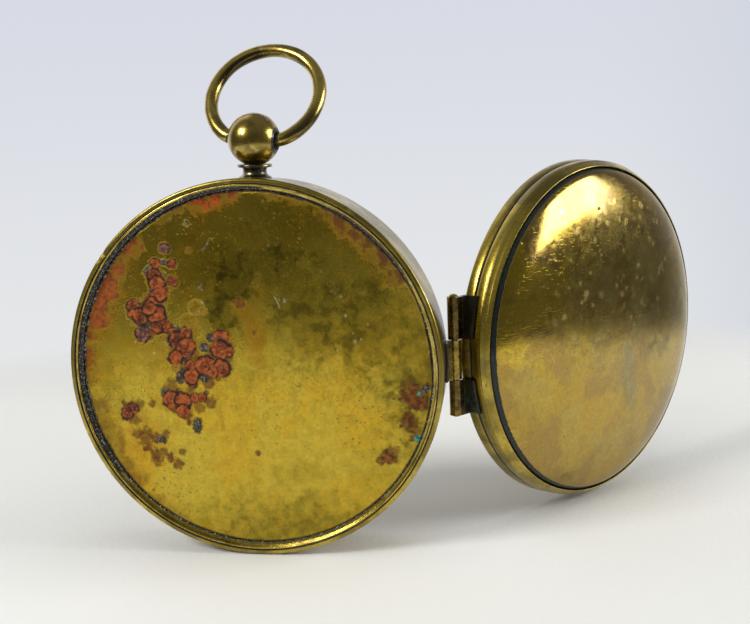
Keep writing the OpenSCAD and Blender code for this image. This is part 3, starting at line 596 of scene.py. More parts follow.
def paint_back(x, z):
    n = len(x)
    p = Paint(n)
    r = np.hypot(x, z)
    ang = np.degrees(np.arctan2(z, x)) % 360
    wx = x + 0.9 * (fbm(x * 0.9, z * 0.9, 11, 4) - 0.5)
    wz = z + 0.9 * (fbm(x * 0.9, z * 0.9, 12, 4) - 0.5)
    f1 = fbm(x * 1.6, z * 1.6, 13, 4)
    f2 = fbm(x * 3.2, z * 3.2, 14, 3)
    f3 = fbm(x * 0.5, z * 0.5, 15, 4)
    stain = np.zeros(n)      # thin orange bloom that lets the metal show
    dark = np.zeros(n)
    every = np.arange(n)
    # stains that creep in from the edge: angle range, depth in mm, strength, colour
    for a0, a1, dep, amt, c, hh in ((88, 111, 3.2, 1.0, C(206, 84, 20), 0.03), (108, 126, 1.6, 0.6, C(120, 58, 30), 0.03), (126, 171, 4.2, 0.95, C(184, 84, 38), 0.03),
                                    (170, 186, 1.9, 0.85, C(170, 66, 20), 0.03), (190, 226, 3.4, 0.5, C(168, 90, 18), 0.02), (226, 246, 1.8, 0.4, C(130, 80, 26), 0.01),
                                    (28, 64, 2.7, 0.9, C(112, 48, 18), 0.02), (64, 88, 1.3, 0.5, C(120, 66, 25), 0.02), (-6, 28, 1.0, 0.35, C(90, 55, 22), 0.01)):
        d = (ang - (a0 + a1) / 2 + 180) % 360 - 180
        w = smooth((a1 - a0) / 2 - np.abs(d) + 8 * (fbm(ang * 0.12, r * 0.0, 16, 3) - 0.5), -1.5, 3.5)
        depth = dep * w * (0.45 + 1.1 * fbm(ang * 0.16 + 9, ang * 0 + 3.3, 17, 4))
        edge = (r - (37.6 - depth)) + 2.2 * (f3 - 0.5) + 1.8 * (f1 - 0.5) + 0.8 * (f2 - 0.5)
        a = smooth(edge, -1.0, 1.2) * w * amt
        speck = smooth(f1 + 0.3 * (f2 - 0.5), 0.5, 0.66)[:, None]
        col = c * (0.45 + 0.7 * f3)[:, None]
        col = col * (1 - 0.65 * speck) + C(62, 38, 30) * 0.65 * speck
        p.coat(every, a * (0.45 + 0.5 * smooth(f3 + 0.35 * (f1 - 0.5), 0.36, 0.58)), col, hh * (0.4 + f2))
        stain = np.maximum(stain, smooth(edge, -3.4, 0.2) * w * 0.75 * amt)
    # orange bloom right of the middle and smudges of gold
    for cx, cz, rx, rz, amt in ((-2.0, 12.5, 3.2, 3.0, 0.9), (0.6, 7.5, 2.4, 5.5, 0.8), (1.5, 1.8, 1.6, 2.2, 0.5), (1.0, 17.0, 2.2, 2.5, 0.6), (-14, 24, 6, 3, 0.25), (-21, 3, 4, 4, 0.35), (-25, -15, 7, 6, 0.5)):
        d = np.hypot((wx - cx) / rx, (wz - cz) / rz)
        stain = np.maximum(stain, amt * (1 - smooth(d + 0.9 * (f3 - 0.5), 0.45, 1.25)))
    # darker clouds: tarnish over the upper half, and further clouds that darken the plate towards the bottom and along
    # the right edge
    for cx, cz, rx, rz, amt in ((-3, 19, 6, 9, 0.8), (6, 22, 8, 7, 0.65), (-9, 22, 7, 7, 0.5), (-6, 12, 5, 6, 0.75), (14, 12, 12, 13, 0.62), (25, 10, 9, 14, 0.62), (10, 30, 12, 5, 0.4), (-1, 0, 5, 3, 0.15), (9, -22, 6, 2.5, 0.3), (8, -35, 26, 9, 0.55), (34, -2, 9, 20, 0.6), (28, -22, 9, 8, 0.22), (-34, -6, 5, 14, 0.3)):
        d = np.hypot((x - cx) / rx, (z - cz) / rz)
        dark = np.maximum(dark, amt * (1 - smooth(d + 1.1 * (f3 - 0.5) + 0.5 * (f1 - 0.5), 0.35, 1.3)))
    # ground crust that joins the scabs into one patch
    join = np.zeros(n)
    for cx, cz, rad, kind in SPOTS:
        if kind in "op":
            i = np.nonzero((np.abs(x - cx) < 4.5) & (np.abs(z - cz) < 4.5))[0]
            join[i] += np.exp(-((x[i] - cx) ** 2 + (z[i] - cz) ** 2) / (1.15 * rad) ** 2)
    ja = smooth(join + 0.9 * (f1 - 0.5) + 0.7 * (f2 - 0.5), 0.42, 0.8)
    jc = mixc(np.tile(C(38, 26, 20), (n, 1)), np.tile(C(118, 56, 18), (n, 1)), smooth(f2 + 0.4 * (f1 - 0.5), 0.42, 0.62))
    p.coat(every, ja * 0.86, jc, 0.03 + 0.03 * f2)
    stain = np.maximum(stain, 0.55 * smooth(join + 1.2 * (f3 - 0.5), 0.1, 0.6))
    order = {"b": 0, "y": 1, "n": 2, "d": 3, "o": 4, "p": 4, "r": 5, "g": 6}
    for k, (cx, cz, rad, kind) in sorted(enumerate(SPOTS), key=lambda s: (order[s[1][3]], s[0])):
        i = np.nonzero((np.abs(x - cx) < rad * 1.9) & (np.abs(z - cz) < rad * 1.9))[0]
        if not len(i):
            continue
        u, v = wx[i] - cx, wz[i] - cz
        th = np.arctan2(v, u)
        d = np.hypot(u, v) / rad + 0.16 * (fbm(np.cos(th) * 1.5 + k, np.sin(th) * 1.5 + k * 2.7, 18, 2) - 0.5)
        h1 = ((k * 7919) % 97) / 97.0
        h2 = ((k * 104729) % 89) / 89.0
        a1, a2 = f1[i], f2[i]
        if kind in "op":
            hot = C(204, 106, 44) if kind == "o" else C(176, 118, 92)
            deep = C(146, 62, 26) if kind == "o" else C(104, 72, 62)
            col = mixc(np.tile(deep, (len(i), 1)), np.tile(hot, (len(i), 1)), smooth(a1 + 0.25 * (h1 - 0.5), 0.3, 0.62))
            ring = np.exp(-((d - 0.78) / 0.09) ** 2)
            col = mixc(col, np.tile(C(176, 98, 40), (len(i), 1)), ring * 0.4 * smooth(a1, 0.4, 0.6))
            ring2 = np.exp(-((d - 0.42) / 0.10) ** 2) * (0.2 + 0.8 * h2)
            col = mixc(col, np.tile(C(70, 28, 14), (len(i), 1)), ring2 * 0.75)
            col = mixc(col, np.tile(C(44, 26, 18), (len(i), 1)), smooth(f3[i] + 0.35 * (a2 - 0.5), 0.54, 0.66) * 0.6)
            core = (1 - smooth(d, 0.08, 0.26)) * (h1 > 0.45)
            col = mixc(col, np.tile(C(52, 34, 30), (len(i), 1)), core * 0.85)
            sp = smooth(a2, 0.55, 0.68) * (0.8 if kind == "p" else 0.5)
            col = mixc(col, np.tile(C(58, 48, 50), (len(i), 1)), sp)
            halo = np.exp(-((d - 1.24) / 0.07) ** 2) * (h2 > 0.6)
            p.coat(i, halo * 0.22, np.tile(C(176, 140, 66), (len(i), 1)), 0.01 + 0 * d)
            line = (1 - smooth(np.abs(d - 1.0), 0.08, 0.2)) * smooth(fbm(np.cos(th) * 1.1 + h1 * 9, np.sin(th) * 1.1 + h2 * 9, 19, 3), 0.34, 0.5)
            p.coat(i, 1 - smooth(d, 0.9, 1.05), col, 0.055 + 0.04 * ring + 0.03 * a2 - 0.03 * core)
            p.coat(i, line * 0.95, np.tile(C(34, 26, 24), (len(i), 1)), 0.02 + 0 * d)
        elif kind == "d":
            a = 1 - smooth(d + 0.8 * (a1 - 0.5), 0.72, 1.05)
            col = mixc(np.tile(C(38, 36, 38), (len(i), 1)), np.tile(C(140, 136, 134), (len(i), 1)), smooth(a2, 0.56, 0.7) * 0.8)
            p.coat(i, a * 0.92, col, 0.06 + 0.05 * a2)
        elif kind == "b":
            a = 1 - smooth(d + 0.9 * (a1 - 0.5), 0.62, 1.12)
            col = mixc(np.tile(C(92, 46, 14), (len(i), 1)), np.tile(C(150, 78, 20), (len(i), 1)), smooth(a1, 0.35, 0.65))
            col = mixc(col, np.tile(C(66, 36, 22), (len(i), 1)), np.exp(-((d - 0.86) / 0.12) ** 2) * 0.5)
            core = 1 - smooth(d, 0.1, 0.35)
            col = mixc(col, np.tile(C(126, 112, 62), (len(i), 1)), core * 0.5 * (h1 > 0.5))
            p.coat(i, a * (0.62 + 0.3 * h2), col, 0.02 + 0.03 * a2)
        elif kind == "y":
            stain[i] = np.maximum(stain[i], 0.55 * (1 - smooth(d, 0.85, 1.0)))
            dark[i] *= smooth(d, 0.9, 1.05)
            line = np.exp(-((d - 1.0) / 0.075) ** 2)
            p.coat(i, line * 0.7, np.tile(C(188, 158, 66), (len(i), 1)), 0.03 + 0 * d)
            inner = np.exp(-((d - 0.55) / 0.2) ** 2) * smooth(a1, 0.5, 0.62)
            p.coat(i, inner * 0.5, np.tile(C(150, 96, 22), (len(i), 1)), 0.02 + 0 * d)
        elif kind in "rn":
            s = 0.85 if kind == "r" else 0.35
            line = np.exp(-((d - 0.85) / 0.16) ** 2)
            p.coat(i, line * s, np.tile(C(196, 112, 40) if kind == "r" else C(150, 116, 66), (len(i), 1)), 0.04 + 0 * d)
            p.coat(i, (1 - smooth(d, 0.2, 0.45)) * s, np.tile(C(120, 80, 30), (len(i), 1)), 0.02 + 0 * d)
        elif kind == "g":
            a = 1 - smooth(d + 0.9 * (a1 - 0.5), 0.55, 0.95)
            p.coat(i, a, mixc(np.tile(C(92, 168, 146), (len(i), 1)), np.tile(C(48, 96, 80), (len(i), 1)), smooth(a2, 0.4, 0.65)), 0.09 + 0.05 * a2)
    # small pits and specks
    fly = fbm(x * 2.3, z * 2.3, 41, 3)
    where = smooth(fbm(x * 0.13, z * 0.13, 42, 3), 0.42, 0.62)
    p.coat(every, smooth(fly, 0.76, 0.83) * where * 0.7, np.tile(C(84, 58, 24), (n, 1)), -0.01 + 0 * x)
    rs_ = np.random.RandomState(23)
    glint = np.zeros(n)
    for _ in range(46):
        cx, cz, s_ = rs_.uniform(-26, 26), rs_.uniform(2, 33), rs_.uniform(0.12, 0.26)
        i = np.nonzero((np.abs(x - cx) < 0.9) & (np.abs(z - cz) < 0.9))[0]
        glint[i] = np.maximum(glint[i], rs_.uniform(0.3, 1.0) * np.exp(-((x[i] - cx) ** 2 + (z[i] - cz) ** 2) / s_**2))
    # two bright scores
    for ax_, az_, bx_, bz_ in ((-9.6, 25.2, -8.0, 27.6), (-11.0, 17.6, -10.2, 16.9), (-10.6, 17.7, -10.3, 18.2), (5.2, 15.4, 6.1, 13.2)):
        q = np.clip(((x - ax_) * (bx_ - ax_) + (z - az_) * (bz_ - az_)) / ((bx_ - ax_) ** 2 + (bz_ - az_) ** 2), 0, 1)
        glint = np.maximum(glint, 0.8 * np.exp(-(np.hypot(x - ax_ - q * (bx_ - ax_) - 0.12 * np.sin(3.1 * q), z - az_ - q * (bz_ - az_)) / 0.13) ** 2))
    # crust in the crevice round the edge
    wide = 0.08 + 0.34 * (smooth(ang, 82, 96) * (1 - smooth(ang, 205, 232))) + 0.45 * (1 - smooth(np.abs(ang - 60), 15, 40)) + 0.25 * (1 - smooth(np.abs(ang - 2), 8, 20))
    edge = r - (37.45 - wide * (0.55 + 0.75 * fbm(ang * 0.5, r * 0, 44, 4))) + (0.15 + 0.4 * np.clip(wide, 0, 1)) * (f2 - 0.5) + 0.3 * (f1 - 0.5) * np.clip(wide, 0, 1)
    a = smooth(edge, -0.12, 0.16)
    lump = fbm(x * 2.7 + 5, z * 2.7, 45, 3)
    grey = mixc(np.tile(C(30, 28, 24), (n, 1)), np.tile(C(116, 118, 112), (n, 1)), smooth(lump, 0.5, 0.66) * smooth(ang, 96, 124) * (1 - smooth(ang, 178, 215)))
    brown = mixc(np.tile(C(46, 30, 22), (n, 1)), np.tile(C(112, 84, 70), (n, 1)), smooth(lump, 0.46, 0.62))
    top = smooth(ang, 60, 84) * (1 - smooth(ang, 104, 124))
    col = mixc(grey, brown, np.clip(top + 0.5 * (1 - smooth(np.abs(ang - 40), 14, 30)), 0, 1))
    sparkle = smooth(fbm(x * 4.1, z * 4.1, 46, 2), 0.72, 0.8) * smooth(ang, 84, 100) * (1 - smooth(ang, 170, 200))
    col = mixc(col, np.tile(C(214, 222, 220), (n, 1)), sparkle * 0.9)
    green = (1 - smooth(np.hypot(x - 36.8, z - 0.6), 0.3, 1.1)) * smooth(lump, 0.4, 0.5)
    col = mixc(col, np.tile(C(60, 120, 96), (n, 1)), green * 0.8)
    p.coat(every, a, col, 0.06 + 0.16 * lump)
    return p, stain, dark, glint


gx, gz, gf = disc_grid(37.48, 0.2)
bp, b_stain, b_dark, b_glint = paint_back(gx, gz)
gr = np.hypot(gx, gz)
dent = 0.05 * (fbm(gx / 17 + 3, gz / 17, 51, 3) - 0.5) + 0.016 * (fbm(gx / 5, gz / 5, 52, 3) - 0.5)
gy = dent * (1 - smooth(gr, 34, 37.3)) - bp.h * bp.cov
nb = len(gx)
# closed plate: the front skin, a short edge and a plain back
rim_i = np.nonzero(gr > 37.48 - 1e-6)[0]
rim_i = rim_i[np.argsort(np.arctan2(gz[rim_i], gx[rim_i]))]
m_ = len(rim_i)
vv = [np.stack([gx, gy, gz], 1)]
vv.append(np.stack([gx[rim_i], np.full(m_, 0.06), gz[rim_i]], 1))
vv.append(np.stack([gx[rim_i] / 37.48 * 38.03, np.full(m_, 0.06), gz[rim_i] / 37.48 * 38.03], 1))
vv.append(np.stack([gx[rim_i] / 37.48 * 38.03, np.full(m_, 0.88), gz[rim_i] / 37.48 * 38.03], 1))
vv.append(np.array([[0, 0.88, 0]]))
k_ = np.arange(m_)
kn = (k_ + 1) % m_
o1, o2, o3, oc = nb, nb + m_, nb + 2 * m_, nb + 3 * m_
tri = [gf]
for a_, b_ in ((rim_i, o1 + k_), (o1 + k_, o2 + k_), (o2 + k_, o3 + k_)):
    an, bn = np.roll(a_, -1), np.roll(b_, -1)
    tri.append(np.stack([a_, b_, bn], 1))
    tri.append(np.stack([a_, bn, an], 1))
tri.append(np.stack([o3 + k_, np.full(m_, oc), o3 + kn], 1))
tri = np.concatenate(tri)
allv = np.concatenate(vv)


def outward(v, f, towards):
    """Turns every face when the first one's normal points away from the given direction."""
    nrm = np.cross(v[f[0, 1]] - v[f[0, 0]], v[f[0, 2]] - v[f[0, 0]])
    return f if nrm @ np.array(towards, float) > 0 else f[:, ::-1]


def pad(a, extra, value=0.0):
    return np.concatenate([a, np.full((extra,) + a.shape[1:], value)])


extra = len(allv) - nb
M_BACK = Mat("corroded_back_plate")
m = M_BACK
o_ = m.co()
cloud = m.noise(o_, 0.075, 5, 0.6, 0.5)
fine = m.noise(o_, 1.4, 6, 0.65)
mott = m.noise(o_, 0.42, 5, 0.62)
base = m.mix(m.rng(cloud, 0.42, 0.62), (0.60, 0.43, 0.045, 1), (0.61, 0.385, 0.028, 1))
base = m.mix(m.rng(mott, 0.38, 0.7, 0.0, 0.55), base, (0.42, 0.32, 0.035, 1))
base = m.mix(m.math("MULTIPLY", m.rng(m.noise(m.co(1, 1, 1, (0, 30, 0)), 0.2, 4, 0.6), 0.6, 0.75), 0.3), base, (0.66, 0.51, 0.10, 1))
dk = m.attr("dark")
base = m.mix(m.math("MULTIPLY", dk, m.rng(mott, 0.3, 0.62, 0.55, 1.15, False), clamp=True), base, (0.15, 0.115, 0.007, 1))
st = m.attr("stain")
deep = m.math("MULTIPLY", m.rng(dk, 0.35, 0.75), m.rng(m.noise(o_, 0.22, 5, 0.62, 0.6), 0.46, 0.62))
base = m.mix(m.math("MULTIPLY", deep, 0.75), base, (0.045, 0.036, 0.004, 1))
stf = m.math("MULTIPLY", m.math("MULTIPLY", st, m.math("SUBTRACT", 1.0, m.math("MULTIPLY", dk, 0.9), clamp=True)), m.rng(mott, 0.3, 0.6, 0.55, 1.0, False))
base = m.mix(stf, base, (0.46, 0.20, 0.010, 1))
base = m.mix(m.rng(fine, 0.35, 0.75, 0.0, 0.35, False), base, (0.20, 0.15, 0.02, 1))
pin = m.noise(m.co(1, 1, 1, (0, 12, 0)), 1.6, 2, 0.5)
pinm = m.math("MULTIPLY", m.rng(pin, 0.70, 0.75), m.rng(cloud, 0.4, 0.6, 0.2, 0.9))
base = m.mix(pinm, base, (0.09, 0.055, 0.012, 1))
base = m.mix(m.attr("glint"), base, (0.95, 0.9, 0.7, 1))
cov = m.attr("cover")
ragged = m.math("MULTIPLY", m.math("SUBTRACT", m.noise(o_, 3.0, 4, 0.65), 0.5), m.math("MULTIPLY", m.math("MULTIPLY", cov, m.math("SUBTRACT", 1.0, cov)), 3.4))
covn = m.math("ADD", cov, ragged, clamp=True)
crust = m.mix(m.rng(m.noise(o_, 4.2, 4, 0.65), 0.3, 0.75, 0.0, 0.45, False), m.attr("crust", True), (0.035, 0.02, 0.012, 1))
colour = m.mix(covn, base, crust)
hair = m.noise(m.co(0.5, 1, 14.0, (0, 24, 0)), 1.0, 2, 0.5)
hair2 = m.noise(m.co(12.0, 1, 0.35, (0, -38, 0)), 1.0, 2, 0.5)
hair3 = m.noise(m.co(0.3, 1, 11.0, (0, -70, 0)), 1.0, 2, 0.5)
scr = m.math("ADD", m.math("ADD", m.rng(hair, 0.66, 0.71), m.rng(hair2, 0.67, 0.72)), m.rng(hair3, 0.68, 0.73), clamp=True)
patch = m.rng(m.noise(o_, 0.12, 2, 0.5), 0.45, 0.6)
scr = m.math("MULTIPLY", scr, patch)
metal = m.math("SUBTRACT", 1.0, m.math("MULTIPLY", covn, 0.97))
rough = m.rng(fine, 0.25, 0.8, 0.13, 0.27, False)
rough = m.math("ADD", rough, m.rng(mott, 0.35, 0.7, 0.0, 0.06))
rough = m.math("ADD", rough, m.math("MULTIPLY", st, 0.08))
rough = m.math("ADD", rough, m.math("MULTIPLY", dk, 0.05))
rough = m.math("ADD", rough, m.math("MULTIPLY", covn, 0.42), clamp=True)
hgt = m.math("ADD", m.math("MULTIPLY", fine, 0.004), m.math("MULTIPLY", scr, -0.004))
hgt = m.math("ADD", hgt, m.math("MULTIPLY", m.math("MULTIPLY", covn, m.noise(o_, 3.0, 4, 0.7)), 0.045))
hgt = m.math("ADD", hgt, m.math("MULTIPLY", m.noise(o_, 9.0, 2, 0.5), 0.0015))
m.set(Base_Color=colour, Metallic=metal, Roughness=rough, Specular_IOR_Level=0.15, Coat_Weight=0.07, Coat_Roughness=0.2)
m.bump(hgt)
make("back_plate_sheet", allv, outward(allv, tri, (0, -1, 0)), M_BACK.m, "case", replaces=("back_plate",), slot="back_brass", sharp=0,
     attrs={"cover": pad(bp.cov, extra, 0.0), "stain": pad(b_stain, extra), "dark": pad(b_dark, extra), "glint": pad(b_glint, extra)},
     colors={"crust": pad(bp.col, extra, 0.02)})

# ------------------------------------------------------------------ lid
BAND_H = 5.4
lid_at = lambda v: to_lid(np.stack([v[:, 0], v[:, 1] + LID_Y, v[:, 2]], 1))


def crown(a, d0, h, n=2.2, m=22):
    out = []
    for i in range(m + 1):
        t = math.radians(90 * i / m)
        out.append((a * max(math.cos(t), 0) ** (2 / n), d0 + h * math.sin(t) ** (2 / n)))
    return out


band = [(38.35, 0, .06), (38.92, 0, .08), (39.07, .14, .1), (39.12, .5, .3), (39.13, 1.25, .4), (39.04, 1.9, .3), (38.9, 2.3, .1), (38.7, 2.55, .06),
        (37.95, 2.7, .0), (37.95, 2.0, .0), (38.15, 1.2, .1), (38.15, .2, .06)]
band = resample(fillet(band, n=4), 0.3)


def band_wobble(t, r, y):
    k = (r > 38.6).astype(float)
    return -k * (0.03 * around(t, 5, 61) + 0.025 * around(t, 16, 62, y * 0.4)), 0 * t


def band_dirt(t, r, y):
    groove = smooth(y, 2.28, 2.5)
    foot = (1 - smooth(y, 0.02, 0.2)) * 0.5
    # painted shade: the band is darkened towards the hinge, where it stands in shade
    hinge_shade = np.exp(-((np.cos(t) - 1) / 0.08) ** 2) * 0.35
    return np.clip(groove + foot + hinge_shade + 0.06, 0, 1)


lathe("lid_band_ring", band, M_CASE, "lid", n=N_TURN, wobble=band_wobble, dirt_and_shade=band_dirt, replaces=("lid_band",), slot="lid_brass", sharp=40, to=lid_at)

lbz = [(37.95, 2.73, 0), (38.62, 2.73, .05), (38.86, 2.9, .12), (38.97, 3.4, .3), (38.99, 4.1, .4), (38.9, 4.8, .2), (38.76, 5.12, .08), (38.74, 5.22, .05),
       (38.9, 5.33, .04), (38.9, 5.42, .05), (38.62, 5.8, .1), (38.28, 6.35, .2), (37.97, 6.8, .1), (37.8, 7.06, .06), (37.67, 7.13, .04), (37.56, 7.09, .03),
       (37.5, 6.9, .05), (37.5, 6.17, .05), (38.05, 6.14, 0), (38.2, 5.72, 0), (38.2, 5.44, 0), (37.95, 5.4, 0)]
lbz = resample(fillet(lbz, n=4), 0.26)


def lbz_wobble(t, r, y):
    k = (r > 38.3).astype(float)
    return -k * (0.03 * around(t, 5, 65) + 0.02 * around(t, 18, 66, y * 0.4)), 0 * t


def lbz_dirt(t, r, y):
    groove = (1 - smooth(y, 2.78, 2.98)) * 1.0
    step = np.exp(-((y - 5.18) / 0.10) ** 2) * 0.75
    inner = (r < 37.62) * smooth(-y, -6.98, -6.8)
    return np.clip(groove + step + inner + 0.05, 0, 1)


lathe("lid_bezel_ring", lbz, M_CASE, "lid", n=N_TURN, wobble=lbz_wobble, dirt_and_shade=lbz_dirt, replaces=("lid_bezel",), slot="lid_brass", sharp=32, to=lid_at)

dome = [(36.6, 5.42), (38.17, 5.44), (38.17, 5.68), (38.02, 6.1), (37.42, 6.14)] + crown(37.28, 6.3, 5.54, 2.2, 120) + crown(36.6, 6.3, 4.86, 2.2, 40)[::-1]
dome = np.array([p for k, p in enumerate(dome) if k == 0 or math.hypot(p[0] - dome[k - 1][0], p[1] - dome[k - 1][1]) > 1e-4])
dome = resample(dome, 0.5)


def lid_uv(t, r):
    """In the lid's plane: u away from the hinge, z up, in mm."""
    return -r * np.cos(t), r * np.sin(t)


def dome_wobble(t, r, y):
    u, z = lid_uv(t, r)
    outer = smooth(y, 6.25, 6.6)
    dy = outer * (0.10 * (fbm(u / 16 + 5, z / 16, 71, 3) - 0.5) + 0.02 * (fbm(u / 4, z / 4, 72, 3) - 0.5))
    for pu, pz, pr, pd in ((-27.0, 23.4, 0.55, 0.10), (-15.1, -17.2, 0.3, 0.05), (-3.2, 28.2, 0.4, 0.05), (-12.0, 14.5, 0.35, 0.05), (-21.0, 12.0, 0.3, 0.04)):
        dy = dy - outer * pd * np.exp(-(((u - pu) ** 2 + (z - pz) ** 2) / pr**2) ** 2)
    return 0 * t, np.minimum(dy, 0.01)


def dome_dirt(t, r, y):
    # painted shade: the dark band at the dome's foot widens towards the hinge to stand for the shaded gap there; round
    # the rest it is grime in the groove
    near = 0.5 - 0.5 * np.cos(t - np.pi)
    edge = smooth(r, 36.75 - 0.95 * near, 37.15 - 0.35 * near) * smooth(-y, -10.2, -9.2)
    return np.clip(edge, 0, 1)


dome_ob = lathe("lid_dome_shell", dome, M_CASE, "lid", n=600, wobble=dome_wobble, dirt_and_shade=dome_dirt, replaces=("lid_dome",), slot="lid_brass", sharp=40, to=lid_at)
me = dome_ob.data
co_ = np.empty(len(me.vertices) * 3, np.float32)
me.vertices.foreach_get("co", co_)
shut = (co_.reshape(-1, 3) * 1000 - HINGE) @ R_LID + HINGE
du, dz, dd = -shut[:, 0], shut[:, 2], shut[:, 1] - LID_Y
f_a, f_b, f_c = fbm(du * 0.35, dz * 0.35, 81, 4), fbm(du * 1.2, dz * 1.2, 82, 4), fbm(du * 0.09, dz * 0.09, 83, 4)
dull = np.zeros(len(du))
for cu, cz, ru, rz, amt in ((3.7, 22, 13, 11, 0.95), (-15, 6, 8, 8, 0.85), (2, 12, 18, 15, 0.8), (16.9, 0, 11, 9, 0.75), (20, 20, 11, 16, 0.8), (6, -12, 3.5, 9, 0.5), (8, -24, 4, 9, 0.3), (-14, -31.5, 4, 1.6, 0.6), (4, 30, 8, 6, 1.0), (14, 22, 10, 10, 0.9), (-8, 15, 9, 10, 0.9), (-3, 1, 15, 5, 0.6),
                            (29, 6, 7, 14, 0.6), (14, 33, 10, 4, 0.6)):
    d_ = np.hypot((du - cu) / ru, (dz - cz) / rz)
    dull = np.maximum(dull, amt * (1 - smooth(d_ + 0.9 * (f_a - 0.5) + 0.7 * (f_b - 0.5), 0.25, 1.35)))
patchy = smooth(fbm(du * 0.46 + 7, dz * 0.46, 84, 4) + 0.45 * (f_b - 0.5), 0.34, 0.66)
dull = dull * (0.30 + 0.70 * patchy)
green = np.zeros(len(du))
for cu, cz, ru, rz, amt in ((5.5, -8, 3.5, 8, 0.8), (7.6, -15, 2.5, 6, 0.7), (14, 14, 6, 7, 0.3), (-2, 9, 4, 8, 0.25), (10, 4, 4, 8, 0.35)):
    d_ = np.hypot((du - cu) / ru, (dz - cz) / rz)
    green = np.maximum(green, amt * (1 - smooth(d_ + 0.9 * (f_a - 0.5), 0.3, 1.2)))
# rubbed light spots scattered over the tarnished half
rs = np.random.RandomState(7)
lightspot = np.zeros(len(du))
for _ in range(150):
    a_, q_ = rs.uniform(0, 2 * math.pi), math.sqrt(rs.uniform(0, 1))
    su, sz = 1 + 27 * q_ * math.cos(a_), 15 + 18 * q_ * math.sin(a_)
    sr, sa = rs.uniform(0.4, 1.25), rs.uniform(0.2, 0.85)
    i_ = np.nonzero((np.abs(du - su) < 2.5 * sr) & (np.abs(dz - sz) < 2.5 * sr))[0]
    d_ = np.hypot(du[i_] - su, dz[i_] - sz) / sr + 0.8 * (f_b[i_] - 0.5)
    lightspot[i_] = np.maximum(lightspot[i_], sa * (1 - smooth(d_, 0.35, 1.0)))
brownish = smooth(f_c + 0.25 * (f_a - 0.5), 0.48, 0.66)
for name_, val_ in (("dull", dull), ("green", green), ("light", lightspot), ("brown", brownish), ("gold", 0.9 * smooth(-du, 9, 24) * smooth(dz, -6, 4)), ("outside", smooth((np.hypot(du, dz) / 37.28) ** 2.2 + (np.maximum(dd - 6.3, 0) / 5.54) ** 2.2, 0.972, 0.99))):
    at_ = me.attributes.new(name_, "FLOAT", "POINT")
    at_.data.foreach_set("value", val_.astype(np.float32))

m = Mat("mottled_lid_dome")
o_ = m.co()
fine = m.noise(o_, 1.3, 6, 0.64)
mott = m.noise(o_, 0.5, 5, 0.62)
big = m.noise(o_, 0.08, 4, 0.55, 0.3)
base = m.mix(m.rng(big, 0.4, 0.62), (0.52, 0.375, 0.060, 1), (0.54, 0.35, 0.025, 1))
outer = m.attr("outside")
base = m.mix(m.math("MULTIPLY", m.attr("gold"), outer), base, (0.84, 0.58, 0.028, 1))
base = m.mix(m.math("MULTIPLY", m.math("MULTIPLY", m.attr("brown"), outer), 0.7), base, (0.38, 0.23, 0.055, 1))
dl = m.math("MULTIPLY", m.attr("dull"), outer)
base = m.mix(m.math("MULTIPLY", dl, m.rng(mott, 0.36, 0.6, 0.62, 1.1, False), clamp=True), base, (0.085, 0.066, 0.008, 1))
base = m.mix(m.math("MULTIPLY", m.math("MULTIPLY", m.attr("green"), outer), 0.6), base, (0.32, 0.33, 0.16, 1))
base = m.mix(m.math("MULTIPLY", m.math("MULTIPLY", m.attr("light"), outer), m.rng(fine, 0.3, 0.6, 0.55, 1.0)), base, (0.60, 0.45, 0.15, 1))
base = m.mix(m.rng(fine, 0.3, 0.75, 0.0, 0.55, False), base, (0.18, 0.115, 0.022, 1))
base = m.mix(m.rng(mott, 0.42, 0.72, 0.0, 0.4), base, (0.30, 0.20, 0.045, 1))
sp = m.noise(m.co(1, 1, 1, (10, 12, 0)), 1.5, 2, 0.5)
base = m.mix(m.math("MULTIPLY", m.rng(sp, 0.69, 0.75), 0.6), base, (0.09, 0.05, 0.015, 1))
# near black in the groove round the dome: grime, and on the hinge side painted shade
dirt_shade_at = m.attr("dirt_and_shade")
grime_and_shade_mask = m.rng(m.math("ADD", dirt_shade_at, m.math("MULTIPLY", m.math("SUBTRACT", m.noise(o_, 1.6, 4, 0.65), 0.5), 0.8)), 0.4, 0.62)
grime_and_shade_mask = m.math("MULTIPLY", grime_and_shade_mask, m.rng(dirt_shade_at, 0.02, 0.15))
base = m.mix(grime_and_shade_mask, base, m.mix(m.rng(m.noise(o_, 2.2, 3, 0.6), 0.4, 0.65), (0.005, 0.006, 0.005, 1), (0.012, 0.022, 0.017, 1)))
rough = m.rng(fine, 0.25, 0.8, 0.06, 0.13, False)
rough = m.math("ADD", rough, m.math("MULTIPLY", dl, 0.16))
rough = m.math("ADD", rough, m.math("MULTIPLY", m.attr("light"), 0.10))
rough = m.math("ADD", rough, m.rng(mott, 0.35, 0.7, 0.0, 0.07))
rough = m.math("ADD", rough, m.math("MULTIPLY", grime_and_shade_mask, 0.35), clamp=True)
metal = m.math("SUBTRACT", 1.0, m.math("MULTIPLY", grime_and_shade_mask, 0.95))
metal = m.math("SUBTRACT", metal, m.math("MULTIPLY", m.math("MULTIPLY", m.attr("green"), outer), 0.25), clamp=True)
hgt = m.math("ADD", m.math("MULTIPLY", fine, 0.006), m.math("MULTIPLY", m.noise(o_, 6.0, 2, 0.5), 0.002))
hair = m.noise(m.co(0.4, 0.4, 11.0, (30, 24, 0)), 1.0, 2, 0.5)
hgt = m.math("ADD", hgt, m.math("MULTIPLY", m.rng(hair, 0.66, 0.71), -0.003))
m.set(Base_Color=base, Metallic=metal, Roughness=rough, Specular_IOR_Level=0.2, Coat_Weight=0.55, Coat_Roughness=0.16)
m.bump(hgt)
me.materials.clear()
me.materials.append(m.m)

